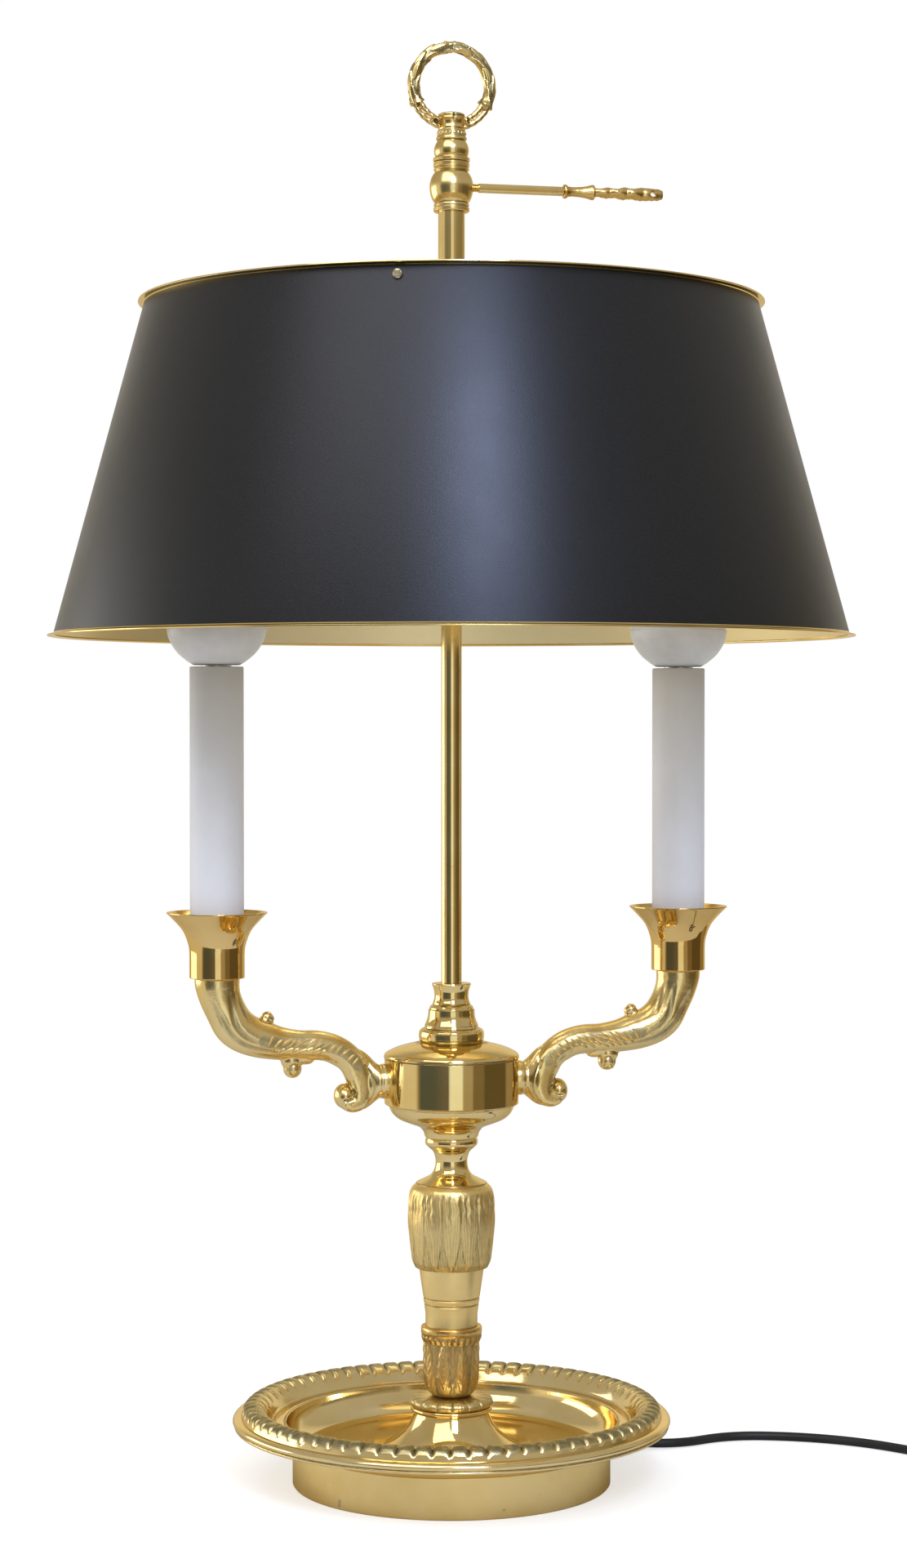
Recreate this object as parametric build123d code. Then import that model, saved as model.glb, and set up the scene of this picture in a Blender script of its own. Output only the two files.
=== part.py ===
from build123d import *
import math
import os

# Bouillotte lamp: a gadrooned dish base, a turned stem with a drum hub, two scrolled arms with candle
# sleeves, a rod with a sliding shade carriage that a key clamps, and a wreath finial.
# Millimetres, +Z up. The origin is on the lamp's axis, on the table. The arms lie along X.

# --- driving dimensions -------------------------------------------------------------------------------
SLIDING_FIT = 0.05  # radial clearance of what slides, turns or screws
REST_GAP = 0.3  # between moving faces that stand against each other at rest

# base
FOOT_RADIUS = 78.1
FOOT_HEIGHT = 20.0
FOOT_WALL = 2.6
FELT_THICKNESS = 1.5
FELT_RECESS = 0.3
BALLAST_RADIUS = 74.5
BALLAST_WELL_RADIUS = 14.5  # counterbore for the washer and nut
DISH_RADIUS = 107.5
DISH_FLOOR_THICKNESS = 3.0
DISH_FLOOR_TOP = 17.5
DISH_BAND_RADIUS = 88.0  # inner edge of the gadroon band
DISH_WELL_RADIUS = 81.0  # top of the hollow wall of the dish
DISH_WELL_CURVE = 13.5
GADROON_HEIGHT = 8.5

# lead and what carries it
CORD_DIAMETER = 4.6
CORD_EXIT_ANGLE = 28.0  # degrees from +X to where the cord leaves the foot
CORD_EXIT_HEIGHT = 10.0
CORD_REST_HEIGHT = CORD_DIAMETER / 2 + 0.05
BUSHING_FLANGE_RADIUS = 5.5
BUSHING_FLANGE_THICKNESS = 1.6
BUSHING_BODY_RADIUS = 4.1
RELIEF_ROOT = 0.5  # how far the bushing's tapered relief starts inside its flange
RELIEF_LENGTH = 13.5
CHANNEL_WIDTH = 6.6
GRIP_LENGTH = 8.0
GRIP_WIDTH = 12.0
GRIP_HEIGHT = 6.6
GRIP_DISTANCE = 50.0
WIRE_RADIUS = 1.3
WIRE_START = 24.0  # where the sheath is stripped, from the axis

# threaded tube and its nuts
TUBE_RADIUS = 5.0
TUBE_BORE_RADIUS = 3.5
NUT_FLATS = 14.0
NUT_THICKNESS = 4.0
WASHER_RADIUS = 13.5
WASHER_THICKNESS = 1.2
WIRE_WINDOW_RADIUS = 2.8

# stem, from the dish floor up
STEM_FOOT_HEIGHT = 20.0
STEM_FOOT_RADIUS = 33.5
STEM_FOOT_TOP_RADIUS = 17.0
LEAF_COLLAR_HEIGHT = 5.0
LEAF_COLLAR_RADIUS = 20.7
LOWER_CUP_HEIGHT = 34.5
LOWER_CUP_RADIUS = 15.0
CONE_HEIGHT = 28.8
CONE_FOOT_RADIUS = 12.8
CONE_TOP_RADIUS = 16.0
CONE_TENON = 3.2  # how far the cone goes up inside the bell
LEAF_BELL_HEIGHT = 41.2
LEAF_BELL_RADIUS = 21.4
NECK_HEIGHT = 23.0
NECK_RADIUS = 7.8
NECK_BEAD_RADIUS = 12.8
HUB_HEIGHT = 38.6
HUB_RADIUS = 32.9
HUB_WALL = 2.2
HUB_FLOOR_THICKNESS = 10.5
HUB_CUP_HEIGHT = 16.6  # the round part below the drum
LID_RADIUS = 33.2
LID_HEIGHT = 7.9
LID_FLAT_RADIUS = 16.0
LID_LIP_DEPTH = 2.0
SOCKET_HEIGHT = 28.9
SOCKET_FOOT_RADIUS = 15.4
SOCKET_WAIST_RADIUS = 8.3
SOCKET_TOP_RADIUS = 9.4
SOCKET_THREAD_DEPTH = 10.0
SOCKET_WEB = 3.0

# rod and finial
ROD_RADIUS = 5.0
ROD_LENGTH = 401.1  # seen above the socket
ROD_STUD_RADIUS = 3.0
ROD_STUD_LENGTH = 9.0
FINIAL_NECK_HEIGHT = 15.5
FINIAL_FLANGE_RADIUS = 9.0
FINIAL_NECK_RADIUS = 6.7
FINIAL_PEG_LENGTH = 5.0
RING_RADIUS = 18.95
RING_THICKNESS = 7.3
RING_DROP = 1.0  # how far the ring's lowest point sinks into its leaf cap
LEAF_CAP_HEIGHT = 8.6
LEAF_CAP_RADIUS = 11.5

# arms
ARM_HEIGHT_ON_HUB = 28.0  # arm axis above the hub's foot
ARM_REACH = 116.0
ARM_RISE = 52.0  # cup seat above the arm axis
ARM_END_RADIUS = 10.65
ARM_COLLAR_RADIUS = 10.0
ARM_COLLAR_WIDTH = 3.0
ARM_BORE_RADIUS = 3.0
ARM_ROOT_RADIUS = 12.0  # wide end of the trumpet at the arm's root
ARM_ROOT_LENGTH = 10.0
ARM_SOCKET_HEIGHT = 4.0  # straight end of the arm under the cup
SCROLL_BALL_RADIUS = 6.8
KNOB_RADIUS = 3.0  # bud on top of the arm
KNOB_HEIGHT = 8.0
DROP_RADIUS = 3.1  # curled leaf tip under the arm
DROP_HEIGHT = 10.6
NIPPLE_LENGTH = 14.0
NIPPLE_INSIDE = 7.5  # how far a nipple stands into the hub
HOLDER_STEM_DEPTH = 6.5  # how far a holder stem is screwed into the arm
CUP_HEIGHT = 31.8
CUP_FOOT_RADIUS = 13.3
CUP_RIM_RADIUS = 24.3
CUP_WALL = 1.2
CUP_FLOOR_THICKNESS = 3.0
CUP_LEDGE_HEIGHT = 17.5  # seat of the candle sleeve
SLEEVE_RADIUS = 13.0
SLEEVE_WALL = 1.0
SLEEVE_TOP = 150.0  # above the cup seat
HOLDER_RADIUS = 11.6
HOLDER_LENGTH = 46.0
HOLDER_SETBACK = 2.0  # below the top of the sleeve
HOLDER_THREAD_DEPTH = 8.0
HOLDER_CAVITY_RADIUS = 8.6
HOLDER_CAVITY_DEPTH = 30.0
SHELL_WALL = 0.6
SHELL_LENGTH = 21.0
SHELL_SETBACK = 2.0

# bulbs
CAP_RADIUS = 7.2
CAP_LENGTH = 20.0
CAP_TIP_RADIUS = 2.4
CAP_TIP_LENGTH = 2.5
BULB_LIFT = 0.8  # underside of the housing above the sleeve
HOUSING_NECK_RADIUS = 11.4
HOUSING_RADIUS = 24.0
HOUSING_HEIGHT = 32.0
GLASS_RADIUS = 4.8
GLASS_CIRCLE = 15.0  # radius of the circle on which the six glass legs stand
GLASS_HEIGHT = 67.0

# shade carriage
CARRIAGE_GAP = 0.3  # between the ball collar and the finial at the top stop
COLLAR_HEIGHT = 24.1
COLLAR_FLANGE_RADIUS = 8.8
COLLAR_BALL_RADIUS = 10.7
KEY_HEIGHT_ON_COLLAR = 12.2
LIFT_TUBE_RADIUS = 6.5
LIFT_TUBE_BELOW_SPIDER = 2.0
SHADE_TOP_BELOW_COLLAR = 46.1  # top edge of the panel below the collar's foot
SHADE_TOP_RADIUS = 149.5
SHADE_FOOT_RADIUS = 193.5
SHADE_HEIGHT = 160.0
SHADE_WALL = 0.7
SHADE_LIP = 3.0
SHADE_LIP_DROP = 0.9
SPIDER_BELOW_SHADE_TOP = 4.8
SPIDER_HUB_RADIUS = 10.0
SPIDER_HUB_HEIGHT = 12.0
SPIDER_ARM_RADIUS = 2.5
SPIDER_FIRST_ANGLE = 8.0
SPIDER_ARMS = 3
SCREW_RADIUS = 1.5
SCREW_HEAD_RADIUS = 2.3
SCREW_HEAD_HEIGHT = 1.3
SCREW_DEPTH = 7.0
SCREW_SLOT = 0.6

# key
KEY_THREAD_RADIUS = 2.0
KEY_NECK_LENGTH = 2.7  # thread that shows outside the ball
KEY_SHAFT_RADIUS = 2.25
KEY_SHAFT_END = 56.5  # from the axis
KEY_PEG_RADIUS = 1.3
KEY_PEG_LENGTH = 8.0
KEY_COLLAR_RADIUS = 3.4
KEY_BELL_LENGTH = 15.5
KEY_BELL_RADIUS = 3.75
KEY_LEAF_LENGTH = 35.0
KEY_LEAF_WIDTH = 13.0
KEY_LEAF_THICKNESS = 4.6

# in-line switch, plug and coil
SWITCH_X = 262.0
SWITCH_FIRST_Y = -86.0  # where the lead enters it
SWITCH_LENGTH = 58.0
SWITCH_WIDTH = 26.0
SWITCH_HEIGHT = 16.0
SWITCH_WALL = 2.0
SWITCH_SPLIT = 7.0  # height of the joint between base and cover, and of the cord's axis
SWITCH_SCREW_OFFSET = 20.0  # either side of the rocker's axis
ROCKER_LENGTH = 18.0
ROCKER_WIDTH = 11.0
ROCKER_AXIS_HEIGHT = 11.5
ROCKER_PIN_RADIUS = 1.5
ROCKER_GAP = 0.4
COIL_TURNS_ACROSS = 3
COIL_RADIUS = 5.9 * CORD_DIAMETER
COIL_GAP = 50.0  # switch to the coil's centre, along Y
PLUG_LENGTH = 37.0
PLUG_WIDTH = 35.0
PLUG_THICKNESS = 14.0
PLUG_TAIL_LENGTH = 22.0
PIN_RADIUS = 2.0
PIN_LENGTH = 19.0
PIN_TIP = 0.8  # chamfer
PIN_ROOT_RADIUS = 1.6  # inside the plug
PIN_ROOT_LENGTH = 10.0
BOOT_LENGTH = 20.0  # tapered reliefs on the lead
BOOT_FOOT_RADIUS = 4.4
BOOT_TIP_RADIUS = 3.3
PIN_SPACING = 18.6

# --- heights and places that follow -------------------------------------------------------------------
DISH_UNDERSIDE = DISH_FLOOR_TOP - DISH_FLOOR_THICKNESS
BALLAST_FOOT = FELT_RECESS + FELT_THICKNESS
NUT_FOOT = BALLAST_FOOT + 0.2
WASHER_FOOT = NUT_FOOT + NUT_THICKNESS
WELL_TOP = WASHER_FOOT + WASHER_THICKNESS
STEM_FOOT_Z = DISH_FLOOR_TOP
LEAF_COLLAR_Z = STEM_FOOT_Z + STEM_FOOT_HEIGHT
LOWER_CUP_Z = LEAF_COLLAR_Z + LEAF_COLLAR_HEIGHT
CONE_Z = LOWER_CUP_Z + LOWER_CUP_HEIGHT
LEAF_BELL_Z = CONE_Z + CONE_HEIGHT
NECK_Z = LEAF_BELL_Z + LEAF_BELL_HEIGHT
HUB_Z = NECK_Z + NECK_HEIGHT
HUB_FLOOR_Z = HUB_Z + HUB_FLOOR_THICKNESS
LID_Z = HUB_Z + HUB_HEIGHT
SOCKET_Z = LID_Z + LID_HEIGHT
ROD_Z = SOCKET_Z + SOCKET_THREAD_DEPTH + SOCKET_WEB
FINIAL_Z = SOCKET_Z + SOCKET_HEIGHT + ROD_LENGTH
RING_FOOT_Z = FINIAL_Z + FINIAL_NECK_HEIGHT
ARM_Z = HUB_Z + ARM_HEIGHT_ON_HUB
CUP_Z = ARM_Z + ARM_RISE
SLEEVE_TOP_Z = CUP_Z + SLEEVE_TOP
HOLDER_TOP_Z = SLEEVE_TOP_Z - HOLDER_SETBACK
HOLDER_Z = HOLDER_TOP_Z - HOLDER_LENGTH
BULB_Z = SLEEVE_TOP_Z + BULB_LIFT
COLLAR_Z = FINIAL_Z - CARRIAGE_GAP - COLLAR_HEIGHT
KEY_Z = COLLAR_Z + KEY_HEIGHT_ON_COLLAR
SHADE_TOP_Z = COLLAR_Z - SHADE_TOP_BELOW_COLLAR
SHADE_FOOT_Z = SHADE_TOP_Z - SHADE_HEIGHT
SHADE_SLOPE = (SHADE_FOOT_RADIUS - SHADE_TOP_RADIUS) / SHADE_HEIGHT
SPIDER_Z = SHADE_TOP_Z - SPIDER_BELOW_SHADE_TOP
LIFT_TUBE_FOOT = SPIDER_Z - SPIDER_HUB_HEIGHT / 2 - LIFT_TUBE_BELOW_SPIDER
THREAD_HOLE_RADIUS = TUBE_RADIUS + SLIDING_FIT
SHELL_RADIUS = CAP_RADIUS + SLIDING_FIT
FREE_BORE_RADIUS = CORD_DIAMETER / 2 + SLIDING_FIT
SWITCH_LAST_Y = SWITCH_FIRST_Y - SWITCH_LENGTH
ROCKER_Y = (SWITCH_FIRST_Y + SWITCH_LAST_Y) / 2
COIL_SECTION = COIL_TURNS_ACROSS * CORD_DIAMETER
COIL_X = SWITCH_X + COIL_RADIUS
COIL_Y = SWITCH_LAST_Y - COIL_GAP
PLUG_X = COIL_X + COIL_RADIUS + CORD_DIAMETER / 2
PLUG_TAIL_Y = COIL_Y + COIL_RADIUS - 6.0

parts = {}


# --- helpers ------------------------------------------------------------------------------------------
def at(radius, height):
    """A point of a half section: distance from the axis, and height."""
    return (radius, 0, height)


def turned(start, *steps):
    """Solid of revolution about Z. Each step is the next point, or (middle, end) of an arc."""
    edges, here = [], start
    for step in steps + (start,):
        if isinstance(step[0], tuple):
            middle, there = step
            edges.append(ThreePointArc(at(*here), at(*middle), at(*there)))
        else:
            there = step
            edges.append(Line(at(*here), at(*there)))
        here = there
    return revolve(make_face(edges), Axis.Z)


def post(radius, foot, top, x=0.0, y=0.0):
    """Upright cylinder between two heights."""
    return Pos(x, y, foot) * Cylinder(radius, top - foot, align=(Align.CENTER, Align.CENTER, Align.MIN))


def bar_x(radius, first, last, y=0.0, z=0.0):
    """Cylinder along X between two places."""
    along = Rot(0, 90, 0) * Cylinder(radius, last - first, align=(Align.CENTER, Align.CENTER, Align.MIN))
    return Pos(first, y, z) * along


def corner_radii(points):
    """The largest neat arcs: 0.45 of the shorter run beside a corner, over the tangent of half the turn."""
    radii = []
    for before, corner, after in zip(points, points[1:], points[2:]):
        first, second = Vector(corner) - Vector(before), Vector(after) - Vector(corner)
        half_turn = math.radians(first.get_angle(second)) / 2
        radii.append(0.45 * min(first.length, second.length) / math.tan(half_turn))
    return radii


def along_path(points, radius, radii=None):
    """Round bar along straight runs joined by tangent arcs."""
    path = FilletPolyline(*points, radius=radii or corner_radii(points))
    section = Plane(origin=path @ 0, z_dir=path % 0) * Circle(radius)
    return sweep(section, path=path), path.length


def separate(*solids):
    """Several solids of one node."""
    return Compound([solid for group in solids for solid in group.solids()])


def hex_nut(plane):
    """Lock nut on the threaded tube, standing on a plane."""
    outline = RegularPolygon(NUT_FLATS / 2, 6, major_radius=False) - Circle(THREAD_HOLE_RADIUS)
    return plane * extrude(outline, NUT_THICKNESS)


def taper(near_radius, far_radius, length):
    """Round taper along +Z from the origin."""
    return Cone(near_radius, far_radius, length, align=(Align.CENTER, Align.CENTER, Align.MIN))


def both_sides(solid):
    """A piece of the right arm and its twin on the left."""
    return solid, mirror(solid, about=Plane.YZ)


def toward_exit(distance, height):
    """A point on the line from the axis out through the cord's exit."""
    angle = math.radians(CORD_EXIT_ANGLE)
    return (distance * math.cos(angle), distance * math.sin(angle), height)


def bar_to_exit(radius, first, last, height=CORD_EXIT_HEIGHT):
    """Cylinder on the line through the cord's exit."""
    return Rot(0, 0, CORD_EXIT_ANGLE) * bar_x(radius, first, last, z=height)


def block_to_exit(first, last, width, foot, top):
    """Block on the line through the cord's exit."""
    length = last - first
    block = Box(length, width, top - foot, align=(Align.MIN, Align.CENTER, Align.MIN))
    return Rot(0, 0, CORD_EXIT_ANGLE) * Pos(first, 0, foot) * block


# --- base ---------------------------------------------------------------------------------------------
def base_dish():
    lip_foot = FOOT_HEIGHT + 9.0
    lip_top = lip_foot + 5.0
    gadroon_foot = DISH_FLOOR_TOP + DISH_WELL_CURVE
    gadroon_top = gadroon_foot + GADROON_HEIGHT
    gadroon_outer = DISH_RADIUS - 4.5
    well_foot = DISH_WELL_RADIUS - DISH_WELL_CURVE
    bend = DISH_WELL_CURVE * (1 - math.sqrt(0.5))
    gadroon_middle = (DISH_BAND_RADIUS + gadroon_outer) / 2
    return turned(
        (THREAD_HOLE_RADIUS, DISH_UNDERSIDE),
        (FOOT_RADIUS - FOOT_WALL - 5.0, DISH_UNDERSIDE),
        (FOOT_RADIUS - FOOT_WALL, FOOT_HEIGHT),
        (FOOT_RADIUS, FOOT_HEIGHT),
        ((FOOT_RADIUS + 13.0, FOOT_HEIGHT + 5.8), (DISH_RADIUS - 2.5, lip_foot - 0.5)),
        (DISH_RADIUS - 0.4, lip_foot + 1.0),
        ((DISH_RADIUS, lip_foot + 2.6), (DISH_RADIUS - 1.0, lip_top - 0.6)),
        (gadroon_outer, lip_top + 0.8),
        ((gadroon_middle, gadroon_top), (DISH_BAND_RADIUS, gadroon_foot + 2.5)),
        (DISH_BAND_RADIUS, gadroon_foot),
        (DISH_WELL_RADIUS, gadroon_foot),
        ((DISH_WELL_RADIUS - bend, DISH_FLOOR_TOP + bend), (well_foot, DISH_FLOOR_TOP)),
        (THREAD_HOLE_RADIUS, DISH_FLOOR_TOP),
    )


def foot_ring():
    ring = post(FOOT_RADIUS, 0, FOOT_HEIGHT) - post(FOOT_RADIUS - FOOT_WALL, 0, FOOT_HEIGHT)
    return ring - bar_to_exit(BUSHING_BODY_RADIUS + SLIDING_FIT, FOOT_RADIUS - 10, FOOT_RADIUS + 10)


def ballast_disc():
    disc = post(BALLAST_RADIUS, BALLAST_FOOT, DISH_UNDERSIDE)
    disc = disc & turned(
        (0, BALLAST_FOOT),
        (BALLAST_RADIUS, BALLAST_FOOT),
        (BALLAST_RADIUS, DISH_UNDERSIDE - 4.0),
        (BALLAST_RADIUS - 5.0, DISH_UNDERSIDE),
        (0, DISH_UNDERSIDE),
    )
    disc -= post(BALLAST_WELL_RADIUS, BALLAST_FOOT, WELL_TOP)
    disc -= post(THREAD_HOLE_RADIUS, BALLAST_FOOT, DISH_UNDERSIDE)
    channel_foot = CORD_EXIT_HEIGHT - CORD_DIAMETER / 2 - 0.2
    disc -= block_to_exit(0, BALLAST_RADIUS + 1, CHANNEL_WIDTH, channel_foot, DISH_UNDERSIDE)
    grip_foot = CORD_EXIT_HEIGHT - GRIP_HEIGHT / 2
    first, last = GRIP_DISTANCE - 0.1, GRIP_DISTANCE + GRIP_LENGTH + 0.1
    return disc - block_to_exit(first, last, GRIP_WIDTH + 0.2, grip_foot, DISH_UNDERSIDE)


def felt_pad():
    return post(FOOT_RADIUS - FOOT_WALL - REST_GAP, FELT_RECESS, BALLAST_FOOT)


def cord_bushing():
    inside = FOOT_RADIUS - FOOT_WALL
    bushing = bar_to_exit(BUSHING_BODY_RADIUS, inside - 0.2, FOOT_RADIUS)
    bushing += bar_to_exit(BUSHING_FLANGE_RADIUS, FOOT_RADIUS, FOOT_RADIUS + BUSHING_FLANGE_THICKNESS)
    exit_face, first_corner = (Vector(point) for point in lead_route()[:2])
    run = first_corner - exit_face
    along = Plane(origin=exit_face - run.normalized() * RELIEF_ROOT, z_dir=run)
    bushing += along * taper(BUSHING_BODY_RADIUS, BOOT_TIP_RADIUS, RELIEF_LENGTH)
    bushing -= along * post(FREE_BORE_RADIUS, RELIEF_ROOT, 2 * RELIEF_LENGTH)
    return bushing - bar_to_exit(CORD_DIAMETER / 2, inside - 1, FOOT_RADIUS + BUSHING_FLANGE_THICKNESS)


def cord_grip():
    foot = CORD_EXIT_HEIGHT - GRIP_HEIGHT / 2
    last = GRIP_DISTANCE + GRIP_LENGTH
    block = block_to_exit(GRIP_DISTANCE, last, GRIP_WIDTH, foot, foot + GRIP_HEIGHT)
    return block - bar_to_exit(CORD_DIAMETER / 2, GRIP_DISTANCE - 1, last + 1)


def stem_tube():
    top = SOCKET_Z + SOCKET_THREAD_DEPTH - 0.2
    tube = post(TUBE_RADIUS, NUT_FOOT, top) - post(TUBE_BORE_RADIUS, NUT_FOOT, top)
    tube -= bar_to_exit(WIRE_WINDOW_RADIUS, 0, TUBE_RADIUS + 1)
    window = Rot(0, 0, 90) * bar_x(WIRE_WINDOW_RADIUS, 0, TUBE_RADIUS + 1, z=ARM_Z - 5.0)
    return tube - window


def stem_washer():
    return post(WASHER_RADIUS, WASHER_FOOT, WELL_TOP) - post(THREAD_HOLE_RADIUS, WASHER_FOOT, WELL_TOP)


# --- stem ---------------------------------------------------------------------------------------------
def stem_foot():
    z, top = STEM_FOOT_Z, LEAF_COLLAR_Z
    skin = 3.0
    middle = (STEM_FOOT_TOP_RADIUS + 3.6, z + 0.45 * STEM_FOOT_HEIGHT)
    return turned(
        (STEM_FOOT_RADIUS - 5.0, z),
        (STEM_FOOT_RADIUS, z),
        (middle, (STEM_FOOT_TOP_RADIUS, top)),
        (THREAD_HOLE_RADIUS, top),
        (THREAD_HOLE_RADIUS, top - skin),
        (STEM_FOOT_TOP_RADIUS - skin, top - skin),
        (middle[0] - skin, middle[1] - 1.0),
    )


def leaf_collar():
    z, top, radius = LEAF_COLLAR_Z, LOWER_CUP_Z, LEAF_COLLAR_RADIUS
    return turned(
        (THREAD_HOLE_RADIUS, z),
        (radius - 2.5, z),
        ((radius, z + LEAF_COLLAR_HEIGHT / 2), (radius - 2.5, top)),
        (THREAD_HOLE_RADIUS, top),
    )


def lower_cup():
    z, top, radius = LOWER_CUP_Z, CONE_Z, LOWER_CUP_RADIUS
    return turned(
        (THREAD_HOLE_RADIUS, z),
        (radius - 7.0, z),
        (radius - 7.0, z + 1.0),
        (radius - 4.4, z + 3.5),
        ((radius - 2.2, z + 14.0), (radius - 1.1, top - 8.0)),
        (radius, top - 4.5),
        (radius, top),
        (THREAD_HOLE_RADIUS, top),
    )


def stem_cone():
    z, top = CONE_Z, LEAF_BELL_Z + CONE_TENON
    return turned(
        (THREAD_HOLE_RADIUS, z),
        (CONE_FOOT_RADIUS, z),
        (CONE_FOOT_RADIUS, z + 6.0),
        (CONE_TOP_RADIUS, LEAF_BELL_Z),
        (CONE_TOP_RADIUS, top),
        (THREAD_HOLE_RADIUS, top),
    )


def leaf_bell():
    z, top, radius = LEAF_BELL_Z, NECK_Z, LEAF_BELL_RADIUS
    seat = CONE_TOP_RADIUS + SLIDING_FIT
    return turned(
        (seat, z),
        (radius - 3.6, z),
        (radius - 2.0, z + 3.2),
        ((radius - 0.6, z + 14.0), (radius, z + 0.6 * LEAF_BELL_HEIGHT)),
        ((radius - 0.7, top - 6.0), (radius - 3.8, top)),
        (THREAD_HOLE_RADIUS, top),
        (THREAD_HOLE_RADIUS, top - 6.5),
        (seat - 2.5, top - 6.5),
        (seat - 2.5, z + CONE_TENON),
        (seat, z + CONE_TENON),
    )


def neck_baluster():
    z, top = NECK_Z, HUB_Z
    waist = z + 0.48 * NECK_HEIGHT
    return turned(
        (THREAD_HOLE_RADIUS, z),
        (LEAF_BELL_RADIUS - 4.2, z),
        (NECK_RADIUS + 5.4, z + 2.3),
        ((NECK_RADIUS + 1.0, z + 6.2), (NECK_RADIUS, waist)),
        ((NECK_RADIUS + 0.8, top - 7.6), (NECK_BEAD_RADIUS - 1.4, top - 5.0)),
        ((NECK_BEAD_RADIUS, top - 2.6), (NECK_BEAD_RADIUS - 0.6, top)),
        (THREAD_HOLE_RADIUS, top),
    )


def hub_body():
    z, top, radius = HUB_Z, LID_Z, HUB_RADIUS
    drum = z + HUB_CUP_HEIGHT
    inside = radius - HUB_WALL
    floor = HUB_FLOOR_Z
    body = turned(
        (THREAD_HOLE_RADIUS, z),
        (NECK_BEAD_RADIUS + 0.4, z),
        (NECK_BEAD_RADIUS + 1.4, z + 3.0),
        ((0.66 * radius, z + 7.0), (radius - 4.0, drum - 4.2)),
        (radius - 1.9, drum - 1.4),
        (radius, drum),
        (radius, top),
        (inside, top),
        (inside, drum + 1.0),
        ((inside - 2.5, floor + 2.0), (inside - 9.0, floor)),
        (THREAD_HOLE_RADIUS, floor),
    )
    return body - bar_x(THREAD_HOLE_RADIUS, -radius - 1, radius + 1, z=ARM_Z)


def hub_lid():
    z, top, radius = LID_Z, SOCKET_Z, LID_RADIUS
    lip = HUB_RADIUS - HUB_WALL - SLIDING_FIT
    return turned(
        (THREAD_HOLE_RADIUS, top - 2.7),
        (LID_FLAT_RADIUS + 3.0, top - 3.6),
        (lip - 2.0, z + 0.4),
        (lip - 2.0, z - LID_LIP_DEPTH),
        (lip, z - LID_LIP_DEPTH),
        (lip, z),
        (radius, z),
        (radius, z + 1.0),
        ((radius - 3.4, z + 4.0), (LID_FLAT_RADIUS + 6.0, top - 1.2)),
        (LID_FLAT_RADIUS, top),
        (THREAD_HOLE_RADIUS, top),
    )


def rod_socket():
    z, top, foot = SOCKET_Z, SOCKET_Z + SOCKET_HEIGHT, SOCKET_FOOT_RADIUS
    rod_hole = ROD_RADIUS + SLIDING_FIT
    return turned(
        (THREAD_HOLE_RADIUS, z),
        (foot, z),
        ((foot + 0.8, z + 3.0), (foot - 0.2, z + 6.0)),
        (foot - 2.8, z + 9.0),
        ((foot - 3.7, z + 12.0), (foot - 4.0, z + 15.0)),
        (SOCKET_WAIST_RADIUS + 0.8, z + 19.3),
        ((SOCKET_WAIST_RADIUS, z + 23.5), (SOCKET_TOP_RADIUS, top)),
        (rod_hole, top),
        (rod_hole, ROD_Z),
        (0, ROD_Z),
        (0, z + SOCKET_THREAD_DEPTH),
        (THREAD_HOLE_RADIUS, z + SOCKET_THREAD_DEPTH),
    )


def centre_rod():
    return post(ROD_RADIUS, ROD_Z, FINIAL_Z) + post(ROD_STUD_RADIUS, FINIAL_Z, FINIAL_Z + ROD_STUD_LENGTH)


# --- finial -------------------------------------------------------------------------------------------
def finial_neck():
    z, top = FINIAL_Z, RING_FOOT_Z
    hole = ROD_STUD_RADIUS + SLIDING_FIT
    return turned(
        (hole, z),
        (FINIAL_FLANGE_RADIUS, z),
        (FINIAL_FLANGE_RADIUS, z + 1.8),
        (FINIAL_FLANGE_RADIUS - 0.9, z + 2.8),
        ((FINIAL_FLANGE_RADIUS - 0.4, z + 5.6), (FINIAL_NECK_RADIUS + 0.6, z + 9.0)),
        (FINIAL_NECK_RADIUS, z + 10.2),
        (FINIAL_NECK_RADIUS, top),
        (hole, top),
    )


def finial_ring():
    z, radius = RING_FOOT_Z, LEAF_CAP_RADIUS
    centre = z - RING_DROP + RING_RADIUS + RING_THICKNESS / 2
    cap = turned(
        (0, z),
        (FINIAL_NECK_RADIUS - 0.2, z),
        ((radius - 2.6, z + 2.2), (radius, z + 6.0)),
        (radius - 2.5, z + LEAF_CAP_HEIGHT - 0.8),
        (0, z + LEAF_CAP_HEIGHT),
    )
    ring = Pos(0, 0, centre) * Rot(90, 0, 0) * Torus(RING_RADIUS, RING_THICKNESS / 2)
    room = 4 * RING_RADIUS
    above = Pos(0, 0, z) * Box(room, room, room, align=(Align.CENTER, Align.CENTER, Align.MIN))
    return (ring & above) + cap + post(ROD_STUD_RADIUS, z - FINIAL_PEG_LENGTH, z)


# --- arms, cups, lampholders ----------------------------------------------------------------------------
# Places on the arm, as shares of its reach from the hub wall and of its rise from the arm axis to the
# cup seat. On the body a third number is the thickness as a share of the arm's end.
ARM_BODY = [
    (0.223, -0.192, 0.563), (0.176, -0.115, 0.592), (0.164, 0.019, 0.657), (0.194, 0.163, 0.751),
    (0.254, 0.285, 0.789), (0.331, 0.350, 0.732), (0.433, 0.379, 0.723), (0.519, 0.379, 0.732),
    (0.627, 0.385, 0.808), (0.723, 0.412, 0.883), (0.807, 0.465, 0.930), (0.888, 0.558, 0.939),
    (0.948, 0.683, 0.930), (0.986, 0.817, 0.948),
]
ARM_BORE = [(0.158, 0.0), (0.217, 0.240), (0.349, 0.371), (0.663, 0.394), (0.880, 0.500), (0.982, 0.731)]
SCROLL_PLACE = (0.260, -0.144)
KNOB_PLACE = (0.699, 0.625)
DROP_PLACE = (0.585, 0.125)


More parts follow.
